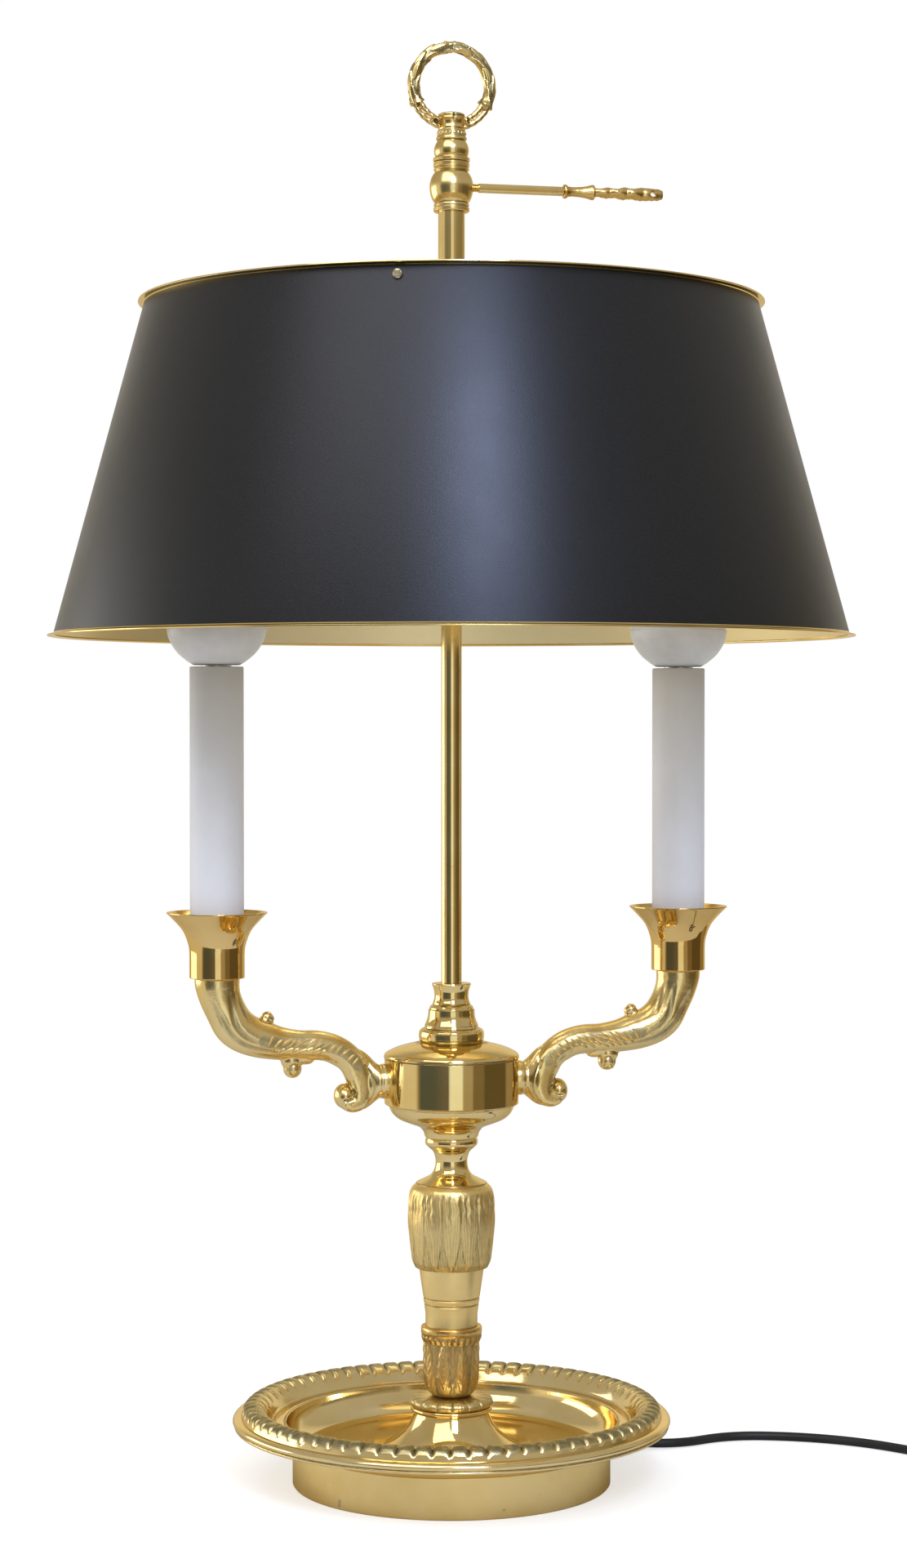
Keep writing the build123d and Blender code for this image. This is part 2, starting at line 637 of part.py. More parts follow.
def on_arm(place):
    """A place on the right arm, in its plane."""
    out, up = place
    return (HUB_RADIUS + out * (ARM_REACH - HUB_RADIUS), 0, ARM_Z + up * ARM_RISE)


def arm_route():
    """Centreline of the wire bore, from the hub wall to the cup seat."""
    start = (HUB_RADIUS + 2 * SLIDING_FIT, 0, ARM_Z)
    return [start] + [on_arm(place) for place in ARM_BORE] + [(ARM_REACH, 0, CUP_Z - ARM_SOCKET_HEIGHT)]


def arm():
    """Scrolled arm on the +X side: a tapering tube, its root trumpet, scroll ball, knob and drop."""
    x, z, end, seat = HUB_RADIUS, ARM_Z, ARM_REACH, CUP_Z
    stations = [(on_arm((out, up)), thick * ARM_END_RADIUS) for out, up, thick in ARM_BODY]
    stations += [((end, 0, height), ARM_END_RADIUS) for height in (seat - ARM_SOCKET_HEIGHT, seat)]
    sections = []
    for place, (middle, radius) in enumerate(stations):
        before, after = stations[max(place - 1, 0)][0], stations[min(place + 1, len(stations) - 1)][0]
        upright = place >= len(stations) - 2
        heading = (0, 0, 1) if upright else (after[0] - before[0], 0, after[2] - before[2])
        sections.append(Plane(origin=middle, x_dir=(0, 1, 0), z_dir=heading) * Circle(radius))
    body = loft(sections)
    root = Rot(0, 90, 0) * taper(ARM_COLLAR_RADIUS - 1.5, ARM_ROOT_RADIUS, ARM_ROOT_LENGTH)
    body += Pos(x + ARM_COLLAR_WIDTH, 0, z) * root
    body += bar_x(ARM_COLLAR_RADIUS, x, x + ARM_COLLAR_WIDTH, z=z)
    body += Pos(*on_arm(SCROLL_PLACE)) * Sphere(SCROLL_BALL_RADIUS)
    for place, radius, height in ((KNOB_PLACE, KNOB_RADIUS, -KNOB_HEIGHT), (DROP_PLACE, DROP_RADIUS, DROP_HEIGHT)):
        tip = on_arm(place)
        neck = sorted((tip[2], tip[2] + height))
        body += Pos(*tip) * Sphere(radius) + post(0.75 * radius, neck[0], neck[1], x=tip[0])
    bore, _ = along_path(arm_route(), ARM_BORE_RADIUS)
    body -= bore
    body -= bar_x(THREAD_HOLE_RADIUS, x - 1, x + NIPPLE_LENGTH - NIPPLE_INSIDE, z=z)
    return body - post(THREAD_HOLE_RADIUS, seat - HOLDER_STEM_DEPTH - 0.5, seat + 1, x=end)


def candle_cup():
    z, foot, rim = CUP_Z, CUP_FOOT_RADIUS, CUP_RIM_RADIUS
    top = z + CUP_HEIGHT
    ledge = z + CUP_LEDGE_HEIGHT
    seat = SLEEVE_RADIUS + REST_GAP
    cup = turned(
        (THREAD_HOLE_RADIUS, z),
        (foot, z),
        (foot, z + 11.0),
        ((foot + 2.4, z + 21.0), (rim, top - 0.6)),
        (rim, top),
        (rim - CUP_WALL, top),
        ((foot + 1.6, z + 22.2), (seat, ledge + 1.5)),
        (seat, ledge),
        (SLEEVE_RADIUS - SLEEVE_WALL - 0.4, ledge),
        (SLEEVE_RADIUS - SLEEVE_WALL - 0.4, z + CUP_FLOOR_THICKNESS),
        (THREAD_HOLE_RADIUS, z + CUP_FLOOR_THICKNESS),
    )
    return Pos(ARM_REACH, 0, 0) * cup


def candle_sleeve():
    foot = CUP_Z + CUP_LEDGE_HEIGHT
    outer = post(SLEEVE_RADIUS, foot, SLEEVE_TOP_Z, x=ARM_REACH)
    return outer - post(SLEEVE_RADIUS - SLEEVE_WALL, foot, SLEEVE_TOP_Z, x=ARM_REACH)


def holder_stem():
    foot, top = CUP_Z - HOLDER_STEM_DEPTH, HOLDER_Z + HOLDER_THREAD_DEPTH
    return post(TUBE_RADIUS, foot, top, x=ARM_REACH) - post(TUBE_BORE_RADIUS, foot, top, x=ARM_REACH)


def lampholder():
    cavity_foot = HOLDER_TOP_Z - HOLDER_CAVITY_DEPTH
    holder = turned(
        (THREAD_HOLE_RADIUS, HOLDER_Z),
        (HOLDER_RADIUS, HOLDER_Z),
        (HOLDER_RADIUS, HOLDER_TOP_Z),
        (HOLDER_CAVITY_RADIUS, HOLDER_TOP_Z),
        (HOLDER_CAVITY_RADIUS, cavity_foot),
        (0, cavity_foot),
        (0, HOLDER_Z + HOLDER_THREAD_DEPTH),
        (THREAD_HOLE_RADIUS, HOLDER_Z + HOLDER_THREAD_DEPTH),
    )
    return Pos(ARM_REACH, 0, 0) * holder


def holder_shell():
    top = HOLDER_TOP_Z - SHELL_SETBACK
    foot = top - SHELL_LENGTH
    skirt = top - 3.0
    shell = turned(
        (SHELL_RADIUS, foot),
        (SHELL_RADIUS + SHELL_WALL, foot),
        (SHELL_RADIUS + SHELL_WALL, skirt),
        (HOLDER_CAVITY_RADIUS, skirt),
        (HOLDER_CAVITY_RADIUS, top),
        (SHELL_RADIUS, top),
    )
    return Pos(ARM_REACH, 0, 0) * shell


def holder_contact():
    """Spring tongue under the bulb's tip."""
    foot = HOLDER_TOP_Z - HOLDER_CAVITY_DEPTH
    top = BULB_Z - CAP_LENGTH - CAP_TIP_LENGTH - REST_GAP
    tongue = Box(4.0, 10.0, 0.5, align=(Align.CENTER, Align.CENTER, Align.MAX))
    return post(2.0, foot, top - 0.5, x=ARM_REACH) + Pos(ARM_REACH, 0, top) * tongue


def arm_wires(block_x, block_y):
    route = [(block_x, block_y, ARM_Z), (block_x + 8.0, block_y, ARM_Z), (HUB_RADIUS - 7.5, 0, ARM_Z)]
    route += arm_route()[1:]
    route += [(ARM_REACH, 0, HOLDER_Z + HOLDER_THREAD_DEPTH)]
    return along_path(route, WIRE_RADIUS)[0]


# --- bulbs ----------------------------------------------------------------------------------------------
def bulb_cap():
    foot = BULB_Z - CAP_LENGTH
    cap = post(CAP_RADIUS, foot, BULB_Z - REST_GAP, x=ARM_REACH)
    return cap + post(CAP_TIP_RADIUS, foot - CAP_TIP_LENGTH, foot, x=ARM_REACH)


def bulb_housing():
    z, top = BULB_Z, BULB_Z + HOUSING_HEIGHT
    housing = turned(
        (0, z),
        (HOUSING_NECK_RADIUS, z),
        ((HOUSING_RADIUS - 5.0, z + 6.0), (HOUSING_RADIUS - 0.3, z + 15.0)),
        (HOUSING_RADIUS, z + 17.0),
        (HOUSING_RADIUS, top - 2.0),
        (HOUSING_RADIUS - 2.0, top),
        (0, top),
    )
    return Pos(ARM_REACH, 0, 0) * housing


def bulb_tubes():
    """Three folded glass tubes on a circle."""
    foot, top = BULB_Z + HOUSING_HEIGHT, BULB_Z + HOUSING_HEIGHT + GLASS_HEIGHT
    folds = []
    for fold in range(3):
        first, last = (math.radians(120 * fold + turn) for turn in (0, 60))
        feet = [(ARM_REACH + GLASS_CIRCLE * math.cos(a), GLASS_CIRCLE * math.sin(a)) for a in (first, last)]
        apart = math.dist(*feet)
        crown = top - GLASS_RADIUS
        route = [(*feet[0], foot), (*feet[0], crown), (*feet[1], crown), (*feet[1], foot)]
        folds.append(along_path(route, GLASS_RADIUS, [0.49 * apart] * 2)[0])
    return separate(*folds)


# --- shade carriage ---------------------------------------------------------------------------------------
def sleeve_tube():
    top = COLLAR_Z + COLLAR_HEIGHT
    return post(LIFT_TUBE_RADIUS, LIFT_TUBE_FOOT, top) - post(ROD_RADIUS + SLIDING_FIT, LIFT_TUBE_FOOT, top)


def collar_ball():
    z, top, flange = COLLAR_Z, COLLAR_Z + COLLAR_HEIGHT, COLLAR_FLANGE_RADIUS
    bore = LIFT_TUBE_RADIUS + SLIDING_FIT
    ball = turned(
        (bore, z),
        (flange, z),
        (flange, z + 2.2),
        (flange - 0.8, z + 3.4),
        ((COLLAR_BALL_RADIUS, KEY_Z), (flange - 0.8, top - 4.0)),
        (flange, top - 3.0),
        (flange, top),
        (bore, top),
    )
    return ball - bar_x(KEY_THREAD_RADIUS + SLIDING_FIT, 0, COLLAR_BALL_RADIUS + 5, z=KEY_Z)


def shade_inside():
    """The cone inside the panel."""
    top, foot = SHADE_TOP_RADIUS - SHADE_WALL, SHADE_FOOT_RADIUS - SHADE_WALL
    return turned((0, SHADE_FOOT_Z), (foot, SHADE_FOOT_Z), (top, SHADE_TOP_Z), (0, SHADE_TOP_Z))


def spider_angles():
    return [SPIDER_FIRST_ANGLE + 360.0 * k / SPIDER_ARMS for k in range(SPIDER_ARMS)]


def screw_seat():
    """Distance from the axis at which a screw's head stands on the panel."""
    return SHADE_TOP_RADIUS + (SPIDER_BELOW_SHADE_TOP + SCREW_HEAD_RADIUS) * SHADE_SLOPE


def shade_spider():
    half = SPIDER_HUB_HEIGHT / 2
    spider = post(SPIDER_HUB_RADIUS, SPIDER_Z - half, SPIDER_Z + half)
    for angle in spider_angles():
        spider += Rot(0, 0, angle) * bar_x(SPIDER_ARM_RADIUS, 0, SHADE_FOOT_RADIUS, z=SPIDER_Z)
    spider &= shade_inside()
    first = screw_seat() - SCREW_DEPTH - 0.5
    for angle in spider_angles():
        spider -= Rot(0, 0, angle) * bar_x(SCREW_RADIUS + SLIDING_FIT, first, SHADE_FOOT_RADIUS, z=SPIDER_Z)
    bore = LIFT_TUBE_RADIUS + SLIDING_FIT
    return spider - post(bore, SPIDER_Z - half - 1, SPIDER_Z + half + 1)


def spider_screws():
    seat = screw_seat()
    screw = bar_x(SCREW_RADIUS, seat - SCREW_DEPTH, seat, z=SPIDER_Z)
    screw += bar_x(SCREW_HEAD_RADIUS, seat, seat + SCREW_HEAD_HEIGHT, z=SPIDER_Z)
    slot = Box(2 * SCREW_SLOT, 3 * SCREW_HEAD_RADIUS, SCREW_SLOT)
    screw -= Pos(seat + SCREW_HEAD_HEIGHT, 0, SPIDER_Z) * slot
    return separate(*[Rot(0, 0, angle) * screw for angle in spider_angles()])


def shade_panel():
    panel = turned(
        (SHADE_FOOT_RADIUS - SHADE_WALL, SHADE_FOOT_Z),
        (SHADE_FOOT_RADIUS, SHADE_FOOT_Z),
        (SHADE_TOP_RADIUS, SHADE_TOP_Z),
        (SHADE_TOP_RADIUS - SHADE_WALL, SHADE_TOP_Z),
    )
    for angle in spider_angles():
        hole = bar_x(SCREW_RADIUS + SLIDING_FIT, SHADE_TOP_RADIUS - 10, SHADE_TOP_RADIUS + 10, z=SPIDER_Z)
        panel -= Rot(0, 0, angle) * hole
    return panel


def shade_lips():
    """The bright turned-out edges at the top and the foot."""
    rings = []
    for radius, edge, way in ((SHADE_TOP_RADIUS, SHADE_TOP_Z, 1), (SHADE_FOOT_RADIUS, SHADE_FOOT_Z, -1)):
        tip = edge + way * SHADE_LIP_DROP
        rings.append(
            turned(
                (radius - SHADE_WALL, edge),
                (radius, edge),
                (radius + SHADE_LIP, tip - way * 0.4),
                (radius + SHADE_LIP, tip + way * 0.3),
                (radius - SHADE_WALL, edge + way * SHADE_WALL),
            )
        )
    return separate(*rings)


def key_shaft():
    tip = LIFT_TUBE_RADIUS + SLIDING_FIT + REST_GAP
    neck = COLLAR_BALL_RADIUS + KEY_NECK_LENGTH
    shaft = bar_x(KEY_THREAD_RADIUS, tip, neck, z=KEY_Z)
    shaft += bar_x(KEY_SHAFT_RADIUS, neck, KEY_SHAFT_END, z=KEY_Z)
    return shaft + bar_x(KEY_PEG_RADIUS, KEY_SHAFT_END, KEY_SHAFT_END + KEY_PEG_LENGTH, z=KEY_Z)


def key_handle():
    """Collar, flaring bell and a scalloped leaf, turned about the key's axis and then flattened."""
    first = KEY_SHAFT_END + SLIDING_FIT
    bell = turned(
        (0, 0),
        (KEY_COLLAR_RADIUS, 0),
        (KEY_COLLAR_RADIUS, 1.7),
        (KEY_COLLAR_RADIUS - 0.9, 2.2),
        ((KEY_BELL_RADIUS - 0.9, 0.7 * KEY_BELL_LENGTH), (KEY_BELL_RADIUS, KEY_BELL_LENGTH)),
        (0, KEY_BELL_LENGTH),
    )
    handle = Pos(first, 0, KEY_Z) * Rot(0, 90, 0) * bell
    leaf_start = first + KEY_BELL_LENGTH
    lobes = 4
    step = KEY_LEAF_LENGTH / (lobes + 1)
    outline = Sketch()
    for lobe in range(lobes):
        width = KEY_LEAF_WIDTH * (1.0 - 0.13 * lobe)
        outline += Pos(leaf_start + (lobe + 0.55) * step) * Ellipse(0.75 * step, width / 2)
    outline += Pos(leaf_start + (lobes + 0.25) * step) * Ellipse(0.75 * step, 0.22 * KEY_LEAF_WIDTH)
    leaf = extrude(outline, KEY_LEAF_THICKNESS / 2, both=True)
    handle += Pos(0, 0, KEY_Z) * leaf
    peg_hole = KEY_PEG_RADIUS + SLIDING_FIT
    return handle - bar_x(peg_hole, first - 1, first + KEY_PEG_LENGTH + 0.3, z=KEY_Z)


# --- electrics inside -------------------------------------------------------------------------------------
BLOCK_LENGTH = 20.0
BLOCK_DEPTH = 12.0
BLOCK_HEIGHT = 11.0
BLOCK_DISTANCE = 10.0  # from the axis to its near side


def terminal_block():
    block = Box(BLOCK_LENGTH, BLOCK_DEPTH, BLOCK_HEIGHT, align=(Align.CENTER, Align.MIN, Align.CENTER))
    return Pos(0, BLOCK_DISTANCE, ARM_Z - 2.0) * block


def inner_cable():
    """Sheathed lead from the exit to where it is stripped, and the wires up to the terminal block."""
    sheath = bar_to_exit(CORD_DIAMETER / 2, WIRE_START, FOOT_RADIUS + BUSHING_FLANGE_THICKNESS)
    height = ARM_Z - 5.0
    start = toward_exit(WIRE_START, CORD_EXIT_HEIGHT)
    route = [start, (0, 0, CORD_EXIT_HEIGHT), (0, 0, height), (0, BLOCK_DISTANCE, height)]
    wires, _ = along_path(route, WIRE_RADIUS, [3.0, 3.0])
    return separate(sheath, wires)


# --- mains lead ---------------------------------------------------------------------------------------------
def lead_route():
    low = CORD_REST_HEIGHT
    return [
        toward_exit(FOOT_RADIUS + BUSHING_FLANGE_THICKNESS, CORD_EXIT_HEIGHT),
        (92.5, 48.0, 4.2),
        (127.0, 40.0, low),
        (160.0, 53.5, low),
        (193.0, 43.5, low),
        (222.5, 23.5, low),
        (245.0, -6.0, low),
        (SWITCH_X - 5.0, SWITCH_FIRST_Y + 2.7 * BOOT_LENGTH, low + 0.6),
        (SWITCH_X, SWITCH_FIRST_Y + 1.3 * BOOT_LENGTH, SWITCH_SPLIT),
        (SWITCH_X, SWITCH_FIRST_Y, SWITCH_SPLIT),
    ]


def mains_cord():
    route = lead_route()
    radii = corner_radii(route)
    cord, length = along_path(route, CORD_DIAMETER / 2, radii)
    expected = math.pi * (CORD_DIAMETER / 2) ** 2 * length
    print("mains_cord radii", [round(r, 1) for r in radii])
    print("mains_cord length", round(length, 1), "volume", round(cord.volume, 1), "expected", round(expected, 1))
    return cord


def cord_lead():
    """Short straight stretch from the switch to the coil."""
    reach = COIL_GAP - 0.75 * COIL_RADIUS
    tube = Cylinder(CORD_DIAMETER / 2, reach, align=(Align.CENTER, Align.CENTER, Align.MIN))
    return Pos(SWITCH_X, SWITCH_LAST_Y, SWITCH_SPLIT) * Rot(90, 0, 0) * tube


def cord_coil():
    inner, outer = COIL_RADIUS - COIL_SECTION / 2, COIL_RADIUS + COIL_SECTION / 2
    foot, top = 0.05, 0.05 + COIL_SECTION
    ring = post(outer, foot, top, COIL_X, COIL_Y) - post(inner, foot, top, COIL_X, COIL_Y)
    return fillet(ring.edges(), 0.4 * CORD_DIAMETER)


def switch_shell(foot, top):
    box = Box(SWITCH_WIDTH, SWITCH_LENGTH, top - foot, align=(Align.CENTER, Align.CENTER, Align.MIN))
    box = fillet(box.edges().filter_by(Axis.Z), 7.0)
    return Pos(SWITCH_X, ROCKER_Y, foot) * box


def switch_hollow(foot, top):
    width, length = SWITCH_WIDTH - 2 * SWITCH_WALL, SWITCH_LENGTH - 2 * SWITCH_WALL
    box = Box(width, length, top - foot, align=(Align.CENTER, Align.CENTER, Align.MIN))
    return Pos(SWITCH_X, ROCKER_Y, foot) * fillet(box.edges().filter_by(Axis.Z), 5.0)


def screw_places():
    return [(SWITCH_X, ROCKER_Y + side * SWITCH_SCREW_OFFSET) for side in (-1, 1)]


def switch_base():
    base = switch_shell(0, SWITCH_SPLIT) - switch_hollow(SWITCH_WALL, SWITCH_SPLIT)
    for x, y in screw_places():
        base += post(3.2, 0, SWITCH_SPLIT, x, y)
        base -= post(SCREW_RADIUS + SLIDING_FIT, -1, SWITCH_SPLIT + 1, x, y)
        base -= post(SCREW_HEAD_RADIUS + 0.2, -1, 2.0, x, y)
    return base


def switch_cover():
    top = SWITCH_HEIGHT
    cover = switch_shell(SWITCH_SPLIT, top) - switch_hollow(SWITCH_SPLIT, top - SWITCH_WALL)
    for x, y in screw_places():
        cover += post(3.2, SWITCH_SPLIT, top - 0.5, x, y)
        cover -= post(SCREW_RADIUS + SLIDING_FIT, SWITCH_SPLIT - 1, top - 3.0, x, y)
    half_width = ROCKER_WIDTH / 2 + ROCKER_GAP
    window = Box(2 * half_width, ROCKER_LENGTH + 2 * ROCKER_GAP + 1.0, 2 * SWITCH_HEIGHT)
    cover -= Pos(SWITCH_X, ROCKER_Y, top) * window
    cheek = Box(2.5, 8.0, top - SWITCH_WALL - SWITCH_SPLIT, align=(Align.MIN, Align.CENTER, Align.MIN))
    for side in (0, 180):
        spot = Pos(SWITCH_X, ROCKER_Y, SWITCH_SPLIT) * Rot(0, 0, side)
        cover += spot * Pos(half_width, 0, 0) * cheek
    pin_hole = ROCKER_PIN_RADIUS + SLIDING_FIT
    length = ROCKER_WIDTH + 4.0
    return cover - bar_x(pin_hole, SWITCH_X - length / 2, SWITCH_X + length / 2, ROCKER_Y, ROCKER_AXIS_HEIGHT)


def switch_boots():
    """Tapered rubber reliefs at both ends of the switch."""
    boots = []
    for y, side in ((SWITCH_FIRST_Y, -90), (SWITCH_LAST_Y, 90)):
        boot = Rot(side, 0, 0) * taper(BOOT_FOOT_RADIUS, BOOT_TIP_RADIUS, BOOT_LENGTH)
        boots.append(Pos(SWITCH_X, y, SWITCH_SPLIT) * boot)
    bore = post(FREE_BORE_RADIUS, 0, SWITCH_LENGTH + 4 * BOOT_LENGTH)
    bore = Pos(SWITCH_X, SWITCH_LAST_Y - 2 * BOOT_LENGTH, SWITCH_SPLIT) * Rot(-90, 0, 0) * bore
    boots = [boot - bore for boot in boots]
    return separate(*boots)


def switch_screws():
    screws = []
    for x, y in screw_places():
        screws.append(post(SCREW_HEAD_RADIUS, 0.5, 2.0, x, y) + post(SCREW_RADIUS, 2.0, SWITCH_HEIGHT - 3.5, x, y))
    return separate(*screws)


def switch_rocker():
    """Rocker with a raised end, on two pins; at rest its +Y end is up."""
    length, top = ROCKER_LENGTH, SWITCH_HEIGHT - ROCKER_AXIS_HEIGHT
    side = make_face(
        Polyline(
            (-length / 2 + 0.5, -2.5),
            (length / 2 - 0.5, -2.5),
            (length / 2 - 1.2, top + 2.2),
            (0, top + 0.2),
            (-length / 2, top - 0.6),
            close=True,
        )
    )
    body = extrude(side, ROCKER_WIDTH / 2, both=True)
    pins = Cylinder(ROCKER_PIN_RADIUS, ROCKER_WIDTH + 3.0)
    rocker = Plane(origin=(0, 0, 0), x_dir=(0, 1, 0), z_dir=(1, 0, 0)) * (body + pins)
    return Pos(SWITCH_X, ROCKER_Y, ROCKER_AXIS_HEIGHT) * rocker


def plug_body():
    """Flat two-pin plug with a tapering tail, lying beside the coil."""
    foot_y = PLUG_TAIL_Y + PLUG_TAIL_LENGTH
    outline = make_face(
        Polyline(
            (-6.0, 0),
            (6.0, 0),
            (PLUG_WIDTH / 2, 0.4 * PLUG_LENGTH),
            (PLUG_WIDTH / 2, PLUG_LENGTH),
            (-PLUG_WIDTH / 2, PLUG_LENGTH),
            (-PLUG_WIDTH / 2, 0.4 * PLUG_LENGTH),
            close=True,
        )
    )
    body = fillet(extrude(outline, PLUG_THICKNESS / 2, both=True).edges(), 2.0)
    tail = Rot(-90, 0, 0) * Cone(
        CORD_DIAMETER / 2 + 0.4, 4.5, PLUG_TAIL_LENGTH, align=(Align.CENTER, Align.CENTER, Align.MIN)
    )
    body = Pos(PLUG_X, foot_y, PLUG_THICKNESS / 2) * body
    body += Pos(PLUG_X, PLUG_TAIL_Y, PLUG_THICKNESS / 2) * tail
    for side in (-1, 1):
        hole = Rot(-90, 0, 0) * Cylinder(PIN_ROOT_RADIUS, PIN_ROOT_LENGTH, align=(Align.CENTER, Align.CENTER, Align.MAX))
        body -= Pos(PLUG_X + side * PIN_SPACING / 2, foot_y + PLUG_LENGTH, PLUG_THICKNESS / 2) * hole
    return body


def plug_pins():
    pins = []
    face = PLUG_TAIL_Y + PLUG_TAIL_LENGTH + PLUG_LENGTH
    for side in (-1, 1):
        pin = Cylinder(PIN_RADIUS, PIN_LENGTH, align=(Align.CENTER, Align.CENTER, Align.MIN))
        pin = chamfer(pin.edges().group_by(Axis.Z)[-1], PIN_TIP)
        pin += Cylinder(PIN_ROOT_RADIUS, PIN_ROOT_LENGTH, align=(Align.CENTER, Align.CENTER, Align.MAX))
        pins.append(Pos(PLUG_X + side * PIN_SPACING / 2, face, PLUG_THICKNESS / 2) * Rot(-90, 0, 0) * pin)
    return separate(*pins)


# --- assembly ---------------------------------------------------------------------------------------------
for make in (
    base_dish, foot_ring, ballast_disc, felt_pad, cord_bushing, cord_grip, stem_tube, stem_washer,
    stem_foot, leaf_collar, lower_cup, stem_cone, leaf_bell, neck_baluster, hub_body, hub_lid,
    rod_socket, centre_rod, finial_neck, finial_ring, terminal_block, inner_cable,
    sleeve_tube, collar_ball, shade_spider, spider_screws, shade_panel, shade_lips, key_shaft, key_handle,
    mains_cord, cord_lead, cord_coil, switch_base, switch_cover, switch_boots, switch_screws, switch_rocker,
    plug_body, plug_pins,
):
    parts[make.__name__] = make()

for make in (arm, candle_cup, candle_sleeve, lampholder, bulb_cap, bulb_housing, bulb_tubes):
    parts[make.__name__ + "_right"], parts[make.__name__ + "_left"] = both_sides(make())

parts["holder_stems"] = separate(*both_sides(holder_stem()))
parts["holder_shells"] = separate(*both_sides(holder_shell()))
parts["holder_contacts"] = separate(*both_sides(holder_contact()))
parts["arm_wires"] = separate(*both_sides(arm_wires(BLOCK_LENGTH / 2, BLOCK_DISTANCE + 3.0)))

nipple_first = HUB_RADIUS - NIPPLE_INSIDE
nipple_last = nipple_first + NIPPLE_LENGTH
nipple = bar_x(TUBE_RADIUS, nipple_first, nipple_last, z=ARM_Z)
nipple -= bar_x(TUBE_BORE_RADIUS, nipple_first, nipple_last, z=ARM_Z)
parts["arm_nipples"] = separate(*both_sides(nipple))

nut_corner = NUT_FLATS / math.sqrt(3)
arm_nut_seat = math.sqrt((HUB_RADIUS - HUB_WALL) ** 2 - nut_corner**2)  # where its corners meet the round wall
arm_nut = hex_nut(Plane(origin=(arm_nut_seat - NUT_THICKNESS, 0, ARM_Z), z_dir=(1, 0, 0)))
cup_nut = hex_nut(Plane(origin=(ARM_REACH, 0, CUP_Z + CUP_FLOOR_THICKNESS)))
base_nut = hex_nut(Plane(origin=(0, 0, NUT_FOOT)))
hub_nut = hex_nut(Plane(origin=(0, 0, HUB_FLOOR_Z)))
parts["lock_nuts"] = separate(base_nut, hub_nut, *both_sides(arm_nut), *both_sides(cup_nut))

os.makedirs("parts", exist_ok=True)
for name, shape in parts.items():
    export_step(shape, f"parts/{name}.step")
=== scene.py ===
import math

import bmesh
import bpy
import numpy as np
from mathutils import Matrix, Vector


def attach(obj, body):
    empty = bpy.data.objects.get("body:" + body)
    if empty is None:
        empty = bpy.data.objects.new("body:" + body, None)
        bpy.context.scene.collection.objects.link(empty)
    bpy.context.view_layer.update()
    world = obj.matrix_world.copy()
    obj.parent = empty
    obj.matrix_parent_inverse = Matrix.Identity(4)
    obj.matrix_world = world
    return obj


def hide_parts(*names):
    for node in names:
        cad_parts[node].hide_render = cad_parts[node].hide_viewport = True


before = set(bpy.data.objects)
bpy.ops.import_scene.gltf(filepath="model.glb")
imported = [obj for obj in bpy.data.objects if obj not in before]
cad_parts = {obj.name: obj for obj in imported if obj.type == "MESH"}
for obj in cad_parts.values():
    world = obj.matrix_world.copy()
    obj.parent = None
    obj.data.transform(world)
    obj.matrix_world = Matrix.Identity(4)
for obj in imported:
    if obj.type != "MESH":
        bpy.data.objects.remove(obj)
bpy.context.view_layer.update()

# --- viewpoint ------------------------------------------------------------------------------------
# The lamp stands on a pale table and is seen through a long lens, from a little to the left of its
# front and from about the height of its shade's foot.
VIEW_AZIMUTH = math.radians(-13.0)
VIEW_DISTANCE, VIEW_ASIDE, VIEW_HEIGHT = 1.540, 0.001, 0.375
VIEW_DROP = math.atan(80 / 3850)  # the lens looks down by 80 in 3850
LENS_LENGTH = 72.19
to_viewer = Vector((math.sin(VIEW_AZIMUTH), -math.cos(VIEW_AZIMUTH), 0.0))
viewer_right = Vector((math.cos(VIEW_AZIMUTH), math.sin(VIEW_AZIMUTH), 0.0))

lens = bpy.data.cameras.new("camera")
lens.sensor_fit = "AUTO"
lens.sensor_width = 36.0
lens.lens = LENS_LENGTH
lens.clip_start = 0.05
camera = bpy.data.objects.new("camera", lens)
bpy.context.scene.collection.objects.link(camera)
camera.location = to_viewer * VIEW_DISTANCE + viewer_right * VIEW_ASIDE + Vector((0, 0, VIEW_HEIGHT))
line_of_sight = -to_viewer * math.cos(VIEW_DROP) - Vector((0, 0, math.sin(VIEW_DROP)))
camera.rotation_euler = line_of_sight.to_track_quat("-Z", "Y").to_euler()
bpy.context.scene.camera = camera
bpy.context.scene.view_settings.view_transform = "Standard"


# --- table and room -------------------------------------------------------------------------------
# A round pale table top in a bright room. Mirror-bright brass shows the room as much as itself, so
# the room has a dark doorway and furniture at eye level, a tall window beside the viewer and a skylight.
def tint(red, green, blue):
    """A colour as it looks, 0 to 255, as the shaders want it."""
    looks = [value / 255 for value in (red, green, blue)]
    return (*[c / 12.92 if c <= 0.04045 else ((c + 0.055) / 1.055) ** 2.4 for c in looks], 1.0)


def grey(value):
    return (value, value, value, 1)


def put(tree, kind, wires=None, **settings):
    """Adds a node. wires sets its inputs, each to a value or to another node's output."""
    made = tree.nodes.new(kind)
    for setting, value in settings.items():
        setattr(made, setting, value)
    for socket, value in (wires or {}).items():
        if isinstance(value, bpy.types.NodeSocket):
            tree.links.new(value, made.inputs[socket])
        else:
            made.inputs[socket].default_value = value
    return made


def ramp(tree, factor, stops):
    """Colour ramp; stops are (place, colour)."""
    made = put(tree, "ShaderNodeValToRGB", {"Fac": factor})
    points = made.color_ramp.elements
    while len(points) < len(stops):
        points.new(0.5)
    for point, (place, colour) in zip(points, stops):
        point.position = place
        point.color = colour
    return made.outputs["Color"]


def reckon(tree, operation, *values, clamp=False):
    """One step of arithmetic."""
    made = put(tree, "ShaderNodeMath", dict(enumerate(values)), operation=operation, use_clamp=clamp)
    return made.outputs[0]


